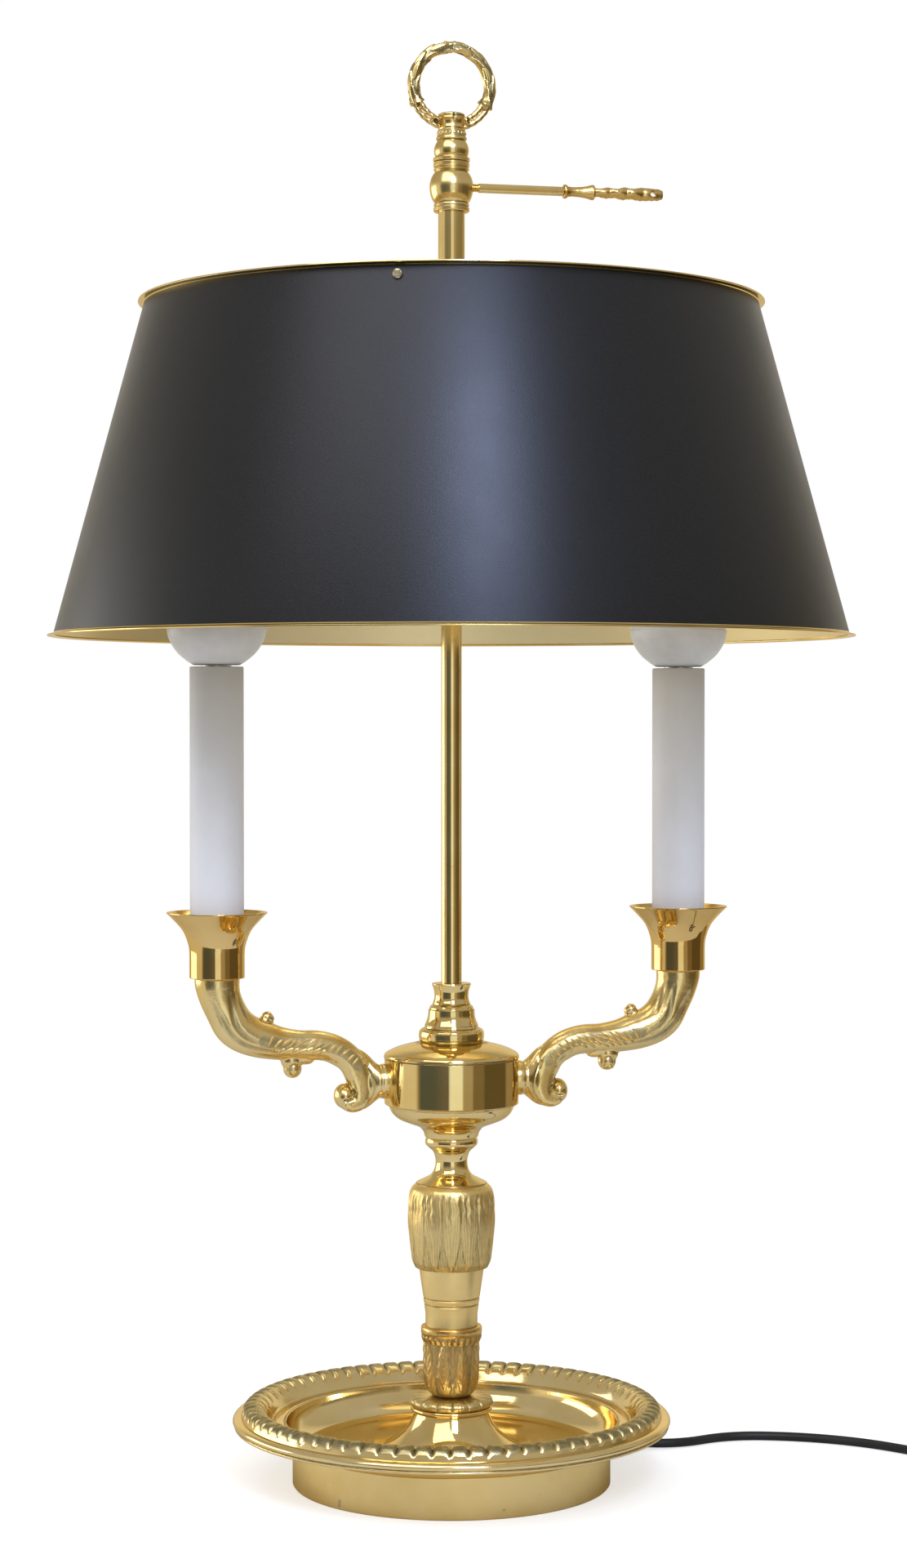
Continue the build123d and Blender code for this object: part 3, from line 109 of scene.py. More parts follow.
def blend_colours(tree, factor, first, second):
    made = put(tree, "ShaderNodeMix", {0: factor, 6: first, 7: second}, data_type="RGBA")
    return made.outputs[2]


def noise(tree, spot, scale, detail, roughness=0.5, distortion=0.0):
    """Uneven cloud, 0 to 1; the larger its scale, the finer it is."""
    wires = {"Vector": spot, "Scale": scale, "Detail": detail, "Roughness": roughness}
    wires["Distortion"] = distortion
    return put(tree, "ShaderNodeTexNoise", wires).outputs["Fac"]


def new_material(name):
    material = bpy.data.materials.new(name)
    material.use_nodes = True
    material.node_tree.nodes.clear()
    return material, material.node_tree


TABLE_RADIUS = 0.62
TABLE_GLOW = 0.55  # light the table top adds of its own, to stay pale
table_top = bpy.data.meshes.new("table_top")
disc = bmesh.new()
bmesh.ops.create_circle(disc, cap_ends=True, radius=TABLE_RADIUS, segments=128)
disc.to_mesh(table_top)
disc.free()
table = bpy.data.objects.new("table_top", table_top)
bpy.context.scene.collection.objects.link(table)
table_white, tree = new_material("table_white")
rays = put(tree, "ShaderNodeLightPath")
cloth = put(tree, "ShaderNodeBsdfDiffuse", {"Color": (0.64, 0.63, 0.61, 1)})
glow_seen = reckon(tree, "MULTIPLY", rays.outputs["Is Camera Ray"], TABLE_GLOW)
glow = put(tree, "ShaderNodeEmission", {"Color": grey(1), "Strength": glow_seen})
both = put(tree, "ShaderNodeAddShader", {0: cloth.outputs[0], 1: glow.outputs[0]})
put(tree, "ShaderNodeOutputMaterial", {"Surface": both.outputs[0]})
table_top.materials.append(table_white)


def facing(tree, way, direction):
    """How far the way looked faces a direction, -1 to 1."""
    made = put(tree, "ShaderNodeVectorMath", {0: way, 1: tuple(direction)}, operation="DOT_PRODUCT")
    return made.outputs["Value"]


# The room is painted by bearing from the viewer, positive to the right, and by elevation, in degrees.
room = bpy.data.worlds.new("room")
bpy.context.scene.world = room
room.use_nodes = True
tree = room.node_tree
tree.nodes.clear()
way = put(tree, "ShaderNodeTexCoord").outputs["Generated"]
ahead, aside = facing(tree, way, to_viewer), facing(tree, way, viewer_right)
upward = put(tree, "ShaderNodeSeparateXYZ", {0: way}).outputs["Z"]
bearing = reckon(tree, "MULTIPLY_ADD", reckon(tree, "ARCTAN2", aside, ahead), 0.5 / math.pi, 0.5)
elevation = reckon(tree, "MULTIPLY_ADD", reckon(tree, "ARCSINE", upward), 1 / math.pi, 0.5)
SIDE_WAVER, HEIGHT_WAVER = 0.025, 0.06  # how ragged the edges of things in the room are
ragged = noise(tree, way, 5.0, 4.0, 0.6)
bearing = reckon(tree, "MULTIPLY_ADD", reckon(tree, "SUBTRACT", ragged, 0.5), SIDE_WAVER, bearing)
elevation = reckon(tree, "MULTIPLY_ADD", reckon(tree, "SUBTRACT", ragged, 0.5), HEIGHT_WAVER, elevation)
ROOM_WALL = (0.74, 0.68, 0.54, 1)
ROOM_WINDOW = (0.95, 1.0, 0.97, 1)
ROOM_DOORWAY = (0.095, 0.11, 0.105, 1)
ROOM_JAMB = (0.17, 0.15, 0.12, 1)
ROOM_CURTAIN = (0.42, 0.36, 0.25, 1)
ROOM_CUPBOARD = (0.21, 0.165, 0.088, 1)
ROOM_SHELVES = (0.12, 0.092, 0.044, 1)
ROOM_CORNER = (0.33, 0.26, 0.15, 1)
eye_level = ramp(
    tree,
    bearing,
    [((place + 180) / 360, colour) for place, colour in (
        (-64, ROOM_WALL), (-58, ROOM_CORNER), (-54, ROOM_DOORWAY), (-30, ROOM_DOORWAY), (-8, ROOM_JAMB),
        (-5, ROOM_DOORWAY), (-3, ROOM_WINDOW), (19, ROOM_WINDOW), (21, ROOM_CURTAIN), (35, ROOM_CURTAIN),
        (38, ROOM_CUPBOARD), (57, ROOM_CUPBOARD), (60, ROOM_SHELVES), (106, ROOM_SHELVES),
        (110, ROOM_CORNER), (135, ROOM_CORNER), (141, ROOM_WALL),
    )],
)
low_band, tall_band = [
    ramp(tree, elevation, [((place + 90) / 180, grey(value)) for place, value in stops])
    for stops in (
        ((-60, 0), (-40, 1), (4, 1), (9, 0)),
        ((-60, 0), (-40, 1), (4, 1), (9, 0.6), (12, 0.6), (17, 0)),
    )
]
ceiling = ramp(
    tree,
    elevation,
    [((place + 90) / 180, colour) for place, colour in (
        (-90, (0.50, 0.45, 0.36, 1)), (0, (0.62, 0.56, 0.44, 1)), (20, (0.46, 0.42, 0.33, 1)),
        (50, (0.44, 0.41, 0.35, 1)), (90, (0.62, 0.60, 0.53, 1)),
    )],
)
away_from_viewer = reckon(tree, "MULTIPLY_ADD", ahead, -0.5, 0.5)
behind = ramp(tree, away_from_viewer, [(0.87, grey(0)), (0.96, grey(1))])
ceiling = blend_colours(tree, behind, ceiling, (0.92, 0.85, 0.72, 1))
seen_in_metal = blend_colours(tree, blend_colours(tree, behind, tall_band, low_band), ceiling, eye_level)
rays = put(tree, "ShaderNodeLightPath")
shiny = reckon(tree, "MAXIMUM", rays.outputs["Is Glossy Ray"], rays.outputs["Is Transmission Ray"])
soft = blend_colours(tree, shiny, (0.62, 0.62, 0.64, 1), seen_in_metal)
shown = blend_colours(tree, rays.outputs["Is Camera Ray"], soft, grey(1))
backdrop = put(tree, "ShaderNodeBackground", {"Color": shown, "Strength": 1.0})
put(tree, "ShaderNodeOutputWorld", {"Surface": backdrop.outputs[0]})


def soft_light(name, bearing, distance, height, width, tall, power, colour, aim=0.3):
    """Rectangular light, its bearing reckoned from the viewer and positive to the right."""
    made = bpy.data.lights.new(name, "AREA")
    made.shape = "RECTANGLE"
    made.size, made.size_y = width, tall
    made.energy = power
    made.color = colour
    holder = bpy.data.objects.new(name, made)
    bpy.context.scene.collection.objects.link(holder)
    turn = math.radians(bearing)
    level_way = to_viewer * math.cos(turn) + viewer_right * math.sin(turn)
    holder.location = level_way * distance + Vector((0, 0, height))
    holder.rotation_euler = (Vector((0, 0, aim)) - holder.location).to_track_quat("-Z", "Y").to_euler()


soft_light("window_pane", 7.0, 2.3, 1.95, 0.30, 1.1, 23.0, (0.68, 0.78, 1.0), aim=0.45)
soft_light("window_wing", 15.5, 2.3, 1.95, 0.28, 1.1, 15.5, (0.68, 0.78, 1.0), aim=0.45)
soft_light("skylight", -30.0, 1.7, 2.4, 2.0, 2.0, 26.0, (1.0, 0.96, 0.90))
soft_light("side_fill", -110.0, 2.2, 0.4, 1.6, 0.9, 9.0, (1.0, 0.98, 0.94))

# --- mains lead -----------------------------------------------------------------------------------
# One black PVC sheathed lead, 4.6 mm thick: out through the bushing in the foot ring, along the table
# to the in-line switch, and on into a tied coil and the plug.
MM = 0.001
CORD_DIAMETER, CORD_LENGTH = 4.6, 1.89
CORD_LOW = CORD_DIAMETER / 2 + 0.05
SWITCH_X, SWITCH_NEAR_Y, SWITCH_FAR_Y = 262.0, -86.0, -144.0
CORD_AXIS, PLUG_AXIS = 7.0, 7.0
BOOT_LENGTH = 20.0
COIL_RADIUS = 5.9 * CORD_DIAMETER
COIL_X, COIL_Y = SWITCH_X + COIL_RADIUS, SWITCH_FAR_Y - 50.0
COIL_TURNS, POINTS_A_TURN = 8.5, 16
PLUG_X, PLUG_TAIL_Y = COIL_X + COIL_RADIUS + 2.3, COIL_Y + COIL_RADIUS - 6.0
PLUG_TAIL_LENGTH, PLUG_LENGTH = 22.0, 37.0
EXIT_RADIUS, EXIT_TURN, EXIT_HEIGHT = 79.7, math.radians(28.0), 10.0

cord_exit = (EXIT_RADIUS * math.cos(EXIT_TURN), EXIT_RADIUS * math.sin(EXIT_TURN), EXIT_HEIGHT)
cord_points = [
    cord_exit,
    (92.5, 48.0, 4.2),
    (127.0, 40.0, CORD_LOW),
    (160.0, 53.5, CORD_LOW),
    (193.0, 43.5, CORD_LOW),
    (222.5, 23.5, CORD_LOW),
    (245.0, -6.0, CORD_LOW),
    (257.0, -32.0, CORD_LOW + 0.6),
    (SWITCH_X, SWITCH_NEAR_Y + 26.0, CORD_AXIS),
    (SWITCH_X, SWITCH_NEAR_Y, CORD_AXIS),
    (SWITCH_X, (SWITCH_NEAR_Y + SWITCH_FAR_Y) / 2, CORD_AXIS),
    (SWITCH_X, SWITCH_FAR_Y, CORD_AXIS),
    (SWITCH_X, SWITCH_FAR_Y - BOOT_LENGTH - 3.0, CORD_AXIS),
]
# The coil fills three turns across and three high, and goes from each place to its neighbour.
coil_places = [(2, 0), (1, 0), (0, 0), (0, 1), (0, 2), (1, 2), (1, 1), (2, 1), (2, 2)]
COIL_MOVE = 120.0  # how many degrees a turn takes to go over to its next place
COIL_FIRST_MOVE, COIL_STAGGER = 347.0, 22.0
CURVE_PULL = 0.981  # the smooth line runs this much inside its points
for step in range(int(COIL_TURNS * POINTS_A_TURN) + 1):
    travelled = 360.0 * step / POINTS_A_TURN
    across, up = coil_places[0]
    for move in range(len(coil_places) - 1):
        middle = COIL_FIRST_MOVE + move * (360.0 - COIL_STAGGER)
        share = min(max((travelled - middle) / COIL_MOVE + 0.5, 0.0), 1.0)
        share = share * share * (3 - 2 * share)
        across += share * (coil_places[move + 1][0] - coil_places[move][0])
        up += share * (coil_places[move + 1][1] - coil_places[move][1])
    reach = (COIL_RADIUS + (across - 1) * CORD_DIAMETER) / CURVE_PULL
    turn = math.radians(180.0 + travelled)
    cord_points.append(
        (COIL_X + reach * math.cos(turn), COIL_Y + reach * math.sin(turn), CORD_LOW + up * CORD_DIAMETER)
    )
cord_points += [
    (PLUG_X, PLUG_TAIL_Y - 1.0, 7.6),
    (PLUG_X, PLUG_TAIL_Y + 8.0, PLUG_AXIS),
    (PLUG_X, PLUG_TAIL_Y + PLUG_TAIL_LENGTH, PLUG_AXIS),
]

cord_line = bpy.data.curves.new("mains_lead", "CURVE")
cord_line.dimensions = "3D"
cord_line.resolution_u = 8
cord_spline = cord_line.splines.new("NURBS")
cord_spline.points.add(len(cord_points) - 1)
for place, point in enumerate(cord_points):
    cord_spline.points[place].co = (*[value * MM for value in point], 1)
cord_spline.order_u = 3
cord_spline.use_endpoint_u = True
bare_line = bpy.data.objects.new("cord_run", cord_line)
cord_run = [Vector(vertex.co) / MM for vertex in bpy.data.meshes.new_from_object(bare_line).vertices]
bpy.data.objects.remove(bare_line)
cord_line.bevel_depth = CORD_DIAMETER / 2 * MM
cord_line.bevel_resolution = 6
mains_lead = bpy.data.objects.new("mains_lead", cord_line)
bpy.context.scene.collection.objects.link(mains_lead)


def bumped(tree, height, strength, distance, under=None):
    """Small relief in the gloss, over that of under."""
    wires = {"Height": height, "Strength": strength, "Distance": distance}
    if under:
        wires["Normal"] = under
    return put(tree, "ShaderNodeBump", wires).outputs[0]


def new_finish(name):
    """A piece's material, its node tree, and the spot on the piece in the lamp's own coordinates."""
    material, tree = new_material(name)
    return material, tree, put(tree, "ShaderNodeTexCoord").outputs["Object"]


def surface(tree, looks):
    """Closes a material's tree with its shader."""
    coat = put(tree, "ShaderNodeBsdfPrincipled", looks)
    put(tree, "ShaderNodeOutputMaterial", {"Surface": coat.outputs[0]})


rubber, tree, spot = new_finish("cord_sheath")
grain = noise(tree, spot, 900.0, 3.0)
dust = noise(tree, spot, 60.0, 5.0, 0.65)
skin = ramp(tree, dust, [(0.35, tint(20, 20, 21)), (0.75, tint(38, 38, 40))])
dull = ramp(tree, dust, [(0.3, grey(0.42)), (0.8, grey(0.6))])
pores = bumped(tree, grain, 0.15, 0.0003)
surface(tree, {"Base Color": skin, "Roughness": dull, "Normal": pores, "Specular IOR Level": 0.4})
cord_line.materials.append(rubber)


def piece(name, mesh, body, slot, *stands_for):
    """A piece of the lamp: it moves with body and stands for parts of the frame; slot is not used."""
    made = bpy.data.objects.new(name, mesh)
    bpy.context.scene.collection.objects.link(made)
    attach(made, body)
    if stands_for:
        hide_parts(*stands_for)
    return made


def finish_mesh(name, work, *materials, sharp=35.0, join=1e-6):
    """Closes the seams of a bmesh, points its faces outwards and makes it a smooth-shaded mesh."""
    bmesh.ops.remove_doubles(work, verts=work.verts, dist=join)
    bmesh.ops.recalc_face_normals(work, faces=work.faces)
    mesh = bpy.data.meshes.new(name)
    work.to_mesh(mesh)
    work.free()
    for material in materials:
        mesh.materials.append(material)
    mesh.polygons.foreach_set("use_smooth", [True] * len(mesh.polygons))
    mesh.set_sharp_from_angle(angle=math.radians(sharp))
    mesh.update()
    return mesh


def formed(name, work, material, body, slot, *stands_for, **seams):
    """A piece of the lamp from its loose faces."""
    return piece(name, finish_mesh(name, work, material, **seams), body, slot, *stands_for)


def skin_over(rings, work=None, close_rings=True, close_run=False, caps=True):
    """Faces between rings of points in millimetres; with caps, a fan closes each end."""
    work = work or bmesh.new()
    rows = [[work.verts.new(Vector(point) * MM) for point in ring] for ring in rings]
    runs = list(zip(rows, rows[1:])) + ([(rows[-1], rows[0])] if close_run else [])
    for near, far in runs:
        count = len(near)
        for k in range(count if close_rings else count - 1):
            after = (k + 1) % count
            work.faces.new((near[k], near[after], far[after], far[k]))
    if caps and not close_run:
        for row in (rows[0], rows[-1]):
            middle = work.verts.new(sum((vertex.co for vertex in row), Vector()) / len(row))
            for k in range(len(row)):
                work.faces.new((row[k], row[(k + 1) % len(row)], middle))
    return work


UP = Vector((0, 0, 1))


def tube_along(points, radii, sides=24):
    """Rings round a line of points."""
    rings = []
    side = UP
    for k, point in enumerate(points):
        heading = (points[min(k + 1, len(points) - 1)] - points[max(k - 1, 0)]).normalized()
        side = side - heading * side.dot(heading)
        side.normalize()
        over = heading.cross(side)
        rings.append([
            point + (side * math.cos(turn) + over * math.sin(turn)) * radii[k]
            for turn in (2 * math.pi * n / sides for n in range(sides))
        ])
    return rings


def stretch_of_cord(first, length, steps):
    """Points along the lead's line, from a distance from its start."""
    places, gone = [0.0], 0.0
    for near, far in zip(cord_run, cord_run[1:]):
        gone += (far - near).length
        places.append(gone)
    wanted = np.linspace(first, first + length, steps)
    along_axes = [np.interp(wanted, places, [point[axis] for point in cord_run]) for axis in range(3)]
    return [Vector(point) for point in zip(*along_axes)]


def boot(name, points, thick, thin, *stands_for):
    """Tapered relief of soft rubber on the lead, with the ring grooves that let it bend."""
    outside = []
    for k in range(len(points)):
        share = k / (len(points) - 1)
        groove = 0.45 if 0.15 < share < 0.92 and k % 4 >= 2 else 0.0
        outside.append(thick + (thin - thick) * share - groove)
    rings = tube_along(points, outside) + tube_along(points[::-1], [CORD_DIAMETER / 2 - 0.05] * len(points))
    return formed(name, skin_over(rings, close_run=True), rubber, "lamp", "black_rubber", *stands_for)


def ring_lathe(points, middle, heading, sides=32):
    """Rings round a straight axis; points are (distance along it, radius)."""
    heading = heading.normalized()
    side = heading.orthogonal().normalized()
    over = heading.cross(side)
    turns = [2 * math.pi * n / sides for n in range(sides)]
    spokes = [side * math.cos(turn) + over * math.sin(turn) for turn in turns]
    return [[middle + heading * along + spoke * radius for spoke in spokes] for along, radius in points]


exit_way = Vector((math.cos(EXIT_TURN), math.sin(EXIT_TURN), 0.0))
BUSHING_SECTION = [
    (-4.2, 2.35), (-4.2, 4.1), (-1.6, 4.1), (-1.6, 5.2), (-1.3, 5.5), (-0.5, 5.5), (0.0, 4.9), (0.3, 4.2),
    (0.3, 2.35),
]
flange = skin_over(ring_lathe(BUSHING_SECTION, Vector(cord_exit), exit_way), close_run=True)
formed("bushing_flange", flange, rubber, "lamp", "black_rubber", "cord_bushing")
foot_boot = boot("foot_boot", stretch_of_cord(0.4, 24.0, 30), 4.1, 2.9)

near_switch = next(k for k, point in enumerate(cord_run) if k > 40 and point.y <= SWITCH_NEAR_Y)
past_switch = next(k for k, point in enumerate(cord_run) if k > 40 and point.y <= SWITCH_FAR_Y)
lengths = np.cumsum([0.0] + [(b - a).length for a, b in zip(cord_run, cord_run[1:])])
into_switch, out_of_switch = float(lengths[near_switch]), float(lengths[past_switch])
near_line = stretch_of_cord(into_switch + 1.0, -BOOT_LENGTH - 1.0, 26)
far_line = stretch_of_cord(out_of_switch - 1.0, BOOT_LENGTH + 1.0, 26)
near_boot = boot("switch_boot_near", near_line, 4.4, 3.3, "switch_boots")
far_boot = boot("switch_boot_far", far_line, 4.4, 3.3)


def rounded_rectangle(middle, width, length, corner, height, steps=6):
    """Level ring of points round a rectangle with round corners."""
    ring = []
    for quarter, (way_x, way_y) in enumerate(((1, 1), (-1, 1), (-1, -1), (1, -1))):
        centre_x = middle[0] + way_x * (width / 2 - corner)
        centre_y = middle[1] + way_y * (length / 2 - corner)
        for step in range(steps + 1):
            turn = math.radians(90 * (quarter + step / steps))
            x, y = centre_x + corner * math.cos(turn), centre_y + corner * math.sin(turn)
            ring.append(Vector((x, y, height)))
    return ring


def moulding(name, colour, roughness, gloss=0.45):
    """Moulded plastic: a fine spark-eroded grain and faint cloudiness."""
    material, tree, spot = new_finish(name)
    grain = noise(tree, spot, 1400.0, 2.0)
    cloud = noise(tree, spot, 45.0, 4.0, 0.6)
    darker = tuple(value * 0.8 for value in colour[:3]) + (1.0,)
    skin = ramp(tree, cloud, [(0.3, darker), (0.7, colour)])
    rough = ramp(tree, cloud, [(0.3, grey(roughness)), (0.8, grey(roughness + 0.12))])
    pores = bumped(tree, grain, 0.12, 0.0002)
    surface(tree, {"Base Color": skin, "Roughness": rough, "Normal": pores, "Specular IOR Level": gloss})
    return material


black_plastic = moulding("black_moulding", tint(26, 26, 28), 0.38)
MOULDED_EDGE = 40  # degrees past which an edge of a moulding is sharp
SWITCH_MIDDLE = (SWITCH_X, (SWITCH_NEAR_Y + SWITCH_FAR_Y) / 2)
cover_rings = [
    rounded_rectangle(SWITCH_MIDDLE, width, length, corner, height)
    for width, length, corner, height in (
        (22.0, 54.0, 5.0, 7.0), (26.0, 58.0, 7.0, 7.0), (26.0, 58.0, 7.0, 7.5), (25.8, 57.8, 7.0, 11.0),
        (25.0, 57.0, 6.8, 13.4), (23.6, 55.6, 6.4, 14.9), (21.2, 53.0, 5.8, 15.7), (18.6, 50.0, 5.2, 16.0),
        (14.0, 22.0, 2.0, 16.0), (12.2, 19.4, 1.2, 15.6), (11.8, 18.8, 1.0, 15.0), (11.8, 18.8, 1.0, 13.0),
        (16.0, 24.0, 2.0, 13.0), (22.0, 54.0, 5.0, 12.6),
    )
]
cover_work = skin_over(cover_rings, close_run=True)
cover = formed(
    "switch_cover_shell", cover_work, black_plastic, "lamp", "black_moulding", "switch_cover",
    sharp=MOULDED_EDGE,
)
base_rings = [
    rounded_rectangle(SWITCH_MIDDLE, width, length, corner, height)
    for width, length, corner, height in (
        (20.0, 52.0, 4.0, 2.0), (22.0, 54.0, 5.0, 6.8), (26.0, 58.0, 7.0, 6.8), (26.0, 58.0, 7.0, 6.2),
        (25.7, 57.7, 7.0, 3.0), (24.8, 56.8, 6.6, 1.2), (23.0, 55.0, 6.0, 0.3), (21.0, 53.0, 5.4, 0.0),
    )
]
base_work = skin_over(base_rings)
tray = formed(
    "switch_base_tray", base_work, black_plastic, "lamp", "black_moulding", "switch_base",
    sharp=MOULDED_EDGE,
)
ROCKER_CURVE = [
    (-8.5, 11.6), (-8.8, 15.0), (-8.4, 15.5), (-4.5, 15.7), (0.0, 16.1), (3.5, 16.8), (6.2, 17.6),
    (7.0, 17.9), (7.4, 17.4), (8.1, 12.7),
]
rocker_rings = []
for side, inset in ((-5.2, 0.35), (-4.8, 0.0), (4.8, 0.0), (5.2, 0.35)):
    rocker_rings.append([
        Vector((SWITCH_X + side, SWITCH_MIDDLE[1] + along * (1 - inset / 9), height - inset))
        for along, height in ROCKER_CURVE
    ])
rocker_work = skin_over(rocker_rings)
rocker = formed(
    "rocker_cap", rocker_work, black_plastic, "rocker", "black_moulding", "switch_rocker",
    sharp=MOULDED_EDGE,
)

PLUG_BODY_Y = PLUG_TAIL_Y + PLUG_TAIL_LENGTH
PLUG_FACE_Y = PLUG_BODY_Y + PLUG_LENGTH
PLUG_SIDES, TAIL_STEPS = 48, 22


def plug_ring(half_width, half_height, along, squareness):
    """Upright ring across the plug: a superellipse, round when squareness is 2."""
    ring = []
    for n in range(PLUG_SIDES):
        turn = 2 * math.pi * n / PLUG_SIDES
        across, up = math.cos(turn), math.sin(turn)
        ring.append(Vector((
            PLUG_X + half_width * math.copysign(abs(across) ** (2 / squareness), across),
            along,
            PLUG_AXIS + half_height * math.copysign(abs(up) ** (2 / squareness), up),
        )))
    return ring


plug_rings = [plug_ring(2.35, 2.35, PLUG_TAIL_Y, 2.0)]
for n in range(TAIL_STEPS + 1):
    share = n / TAIL_STEPS
    thick = 3.3 + 1.6 * share - (0.5 if n % 4 in (2, 3) and n < 20 else 0.0)
    plug_rings.append(plug_ring(thick, thick, PLUG_TAIL_Y + (PLUG_TAIL_LENGTH - 0.5) * share, 2.0))
PLUG_SHAPE = [
    (0.02, 8.5, 5.4, 2.2), (0.07, 11.5, 6.0, 2.6), (0.18, 14.0, 6.6, 3.2), (0.34, 15.2, 6.6, 4.0),
    (0.50, 15.4, 6.2, 4.4), (0.64, 15.8, 6.4, 4.6), (0.80, 17.2, 7.0, 5.0), (0.94, 17.5, 7.0, 5.0),
    (0.985, 17.3, 6.8, 5.0), (1.0, 16.7, 6.2, 5.0),
]
for share, half_width, half_height, squareness in PLUG_SHAPE:
    plug_rings.append(plug_ring(half_width, half_height, PLUG_BODY_Y + PLUG_LENGTH * share, squareness))
plug_work = skin_over(plug_rings)
plug = formed(
    "plug_moulding", plug_work, black_plastic, "lamp", "black_moulding", "plug_body", sharp=MOULDED_EDGE,
)

nickel, tree, spot = new_finish("nickel_plate")
wear = noise(tree, spot, 320.0, 4.0)
sheen = ramp(tree, wear, [(0.3, grey(0.22)), (0.75, grey(0.38))])
plate = ramp(tree, wear, [(0.3, (0.62, 0.61, 0.58, 1)), (0.7, (0.72, 0.71, 0.68, 1))])
surface(tree, {"Base Color": plate, "Roughness": sheen, "Metallic": 1.0})
PIN_APART = 18.6
PIN_SECTION = [(-0.4, 0.05), (-0.4, 2.0), (17.6, 2.0), (18.3, 1.85), (18.8, 1.3), (19.0, 0.05)]
pins = bmesh.new()
for side in (-1, 1):
    middle = Vector((PLUG_X + side * PIN_APART / 2, PLUG_FACE_Y, PLUG_AXIS))
    skin_over(ring_lathe(PIN_SECTION, middle, Vector((0, 1, 0)), 32), pins)
plug_pins = formed("contact_pins", pins, nickel, "lamp", "zinc_steel", "plug_pins")

tie_rings = []
tie_out, tie_along = Vector((0, 1, 0)), Vector((-1, 0, 0))
tie_middle = Vector((COIL_X, COIL_Y, 7.2)) + tie_out * COIL_RADIUS
for inward in (0.0, 0.55):
    for side in (-2.4, 2.4) if inward == 0.0 else (2.4, -2.4):
        outline = rounded_rectangle((0.0, 0.0), 15.0 - 2 * inward, 14.35 - 2 * inward, 4.4 - inward, 0.0)
        tie_rings.append([tie_middle + tie_out * p.x + UP * p.y + tie_along * side for p in outline])
coil_tie = formed("coil_tie", skin_over(tie_rings, close_run=True), black_plastic, "lamp", "black_rubber")

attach(mains_lead, "lamp")
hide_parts("mains_cord", "cord_lead", "cord_coil")


# --- foot ring, felt and ballast ------------------------------------------------------------------
# A turned brass ring carries the dish. Inside it an iron disc gives the weight, closed by green felt, with
# the grip for the lead, the terminal block, and the washer and nuts of the threaded tube.
def smooth_run(points, steps=5):
    """Catmull-Rom curve through points of a half section."""
    padded = [points[0], *points, points[-1]]
    run = []
    for p0, p1, p2, p3 in zip(padded, padded[1:], padded[2:], padded[3:]):
        for k in range(steps):
            t = k / steps
            run.append(tuple(
                0.5 * (
                    2 * b
                    + (c - a) * t
                    + (2 * a - 5 * b + 4 * c - d) * t * t
                    + (3 * b - a - 3 * c + d) * t ** 3
                )
                for a, b, c, d in zip(p0, p1, p2, p3)
            ))
    return run + [points[-1]]


def section(start, *steps, edge=0.25):
    """Closed half section in mm, its corners rounded by edge. A step is the next corner, or a list of points
    that a curve runs through."""
    corners, here = [(start, False)], start
    for step in steps:
        if isinstance(step, list):
            run = smooth_run([here] + step)
            corners += [(point, True) for point in run[1:-1]] + [(run[-1], False)]
        else:
            corners.append((step, False))
        here = corners[-1][0]
    count, points = len(corners), []
    for k, (corner, on_curve) in enumerate(corners):
        before, after = corners[k - 1][0], corners[(k + 1) % count][0]
        inward = np.subtract(corner, before)
        outward = np.subtract(after, corner)
        long_in, long_out = float(np.hypot(*inward)), float(np.hypot(*outward))
        if on_curve or min(long_in, long_out) < 1e-6 or corner[0] < 1e-6:
            points.append(corner)
            continue
        inward, outward = inward / long_in, outward / long_out
        bend = math.acos(max(-1.0, min(1.0, float(np.dot(inward, outward)))))
        cut = min(edge * math.tan(min(bend, 2.6) / 2), 0.42 * long_in, 0.42 * long_out)
        if bend < 0.2 or cut < 0.01:
            points.append(corner)
            continue
        first, last = np.subtract(corner, inward * cut), np.add(corner, outward * cut)
        if long_in > 4 * edge:
            points.append(tuple(first - inward * edge))
        for t in (0.0, 0.25, 0.5, 0.75, 1.0):
            points.append(tuple(first * (1 - t) ** 2 + np.multiply(corner, 2 * t * (1 - t)) + last * t * t))
        if long_out > 4 * edge:
            points.append(tuple(last + outward * edge))
    return points


def rings_round(outline, sides, centre_x=0.0):
    """The half section at each place round an upright axis."""
    turns = [2 * math.pi * n / sides for n in range(sides)]
    return [[(centre_x + r * math.cos(turn), r * math.sin(turn), z) for r, z in outline] for turn in turns]


def turned(name, outline, metal, slot, node, body="lamp", sides=144, centre_x=0.0, creases=(), crease=0.45):
    """Turned piece, from its closed half section; the heights in creases are painted dark, as shade in the
    grooves and joints.
    """
    work = bmesh.new()
    mark = work.verts.layers.float.new("recess")
    skin_over(rings_round(outline, sides, centre_x), work, close_rings=outline[0][0] > 1e-6, close_run=True)
    # Painted shade: points near a crease height get a recess mark that the brass darkens.
    for vertex in work.verts:
        gap = min([abs(vertex.co.z / MM - height) for height in creases] + [crease])
        vertex[mark] = 1.0 - gap / crease
    return formed(name, work, metal, body, slot, node, join=2e-7)


BRASS = ((0.80, 0.60, 0.25, 1), (0.87, 0.69, 0.34, 1))
PALE_BRASS = ((0.88, 0.65, 0.255, 1), (0.95, 0.74, 0.34, 1))
RED_BRASS = ((0.72, 0.48, 0.17, 1), (0.79, 0.56, 0.235, 1))
AMBER_BRASS = ((0.62, 0.39, 0.12, 1), (0.84, 0.62, 0.27, 1))
DISH_BRASS = ((0.86, 0.68, 0.34, 1), (0.92, 0.76, 0.43, 1))
BRASS_EDGE = (0.84, 0.74, 0.54, 1)
# Dark colours for the recesses: tarnish, and painted shade where the recess mark stands for shade.
TARNISH_AND_SHADE_BROWN = (0.20, 0.17, 0.085, 1)
TARNISH_AND_SHADE_GREEN = (0.33, 0.31, 0.19, 1)


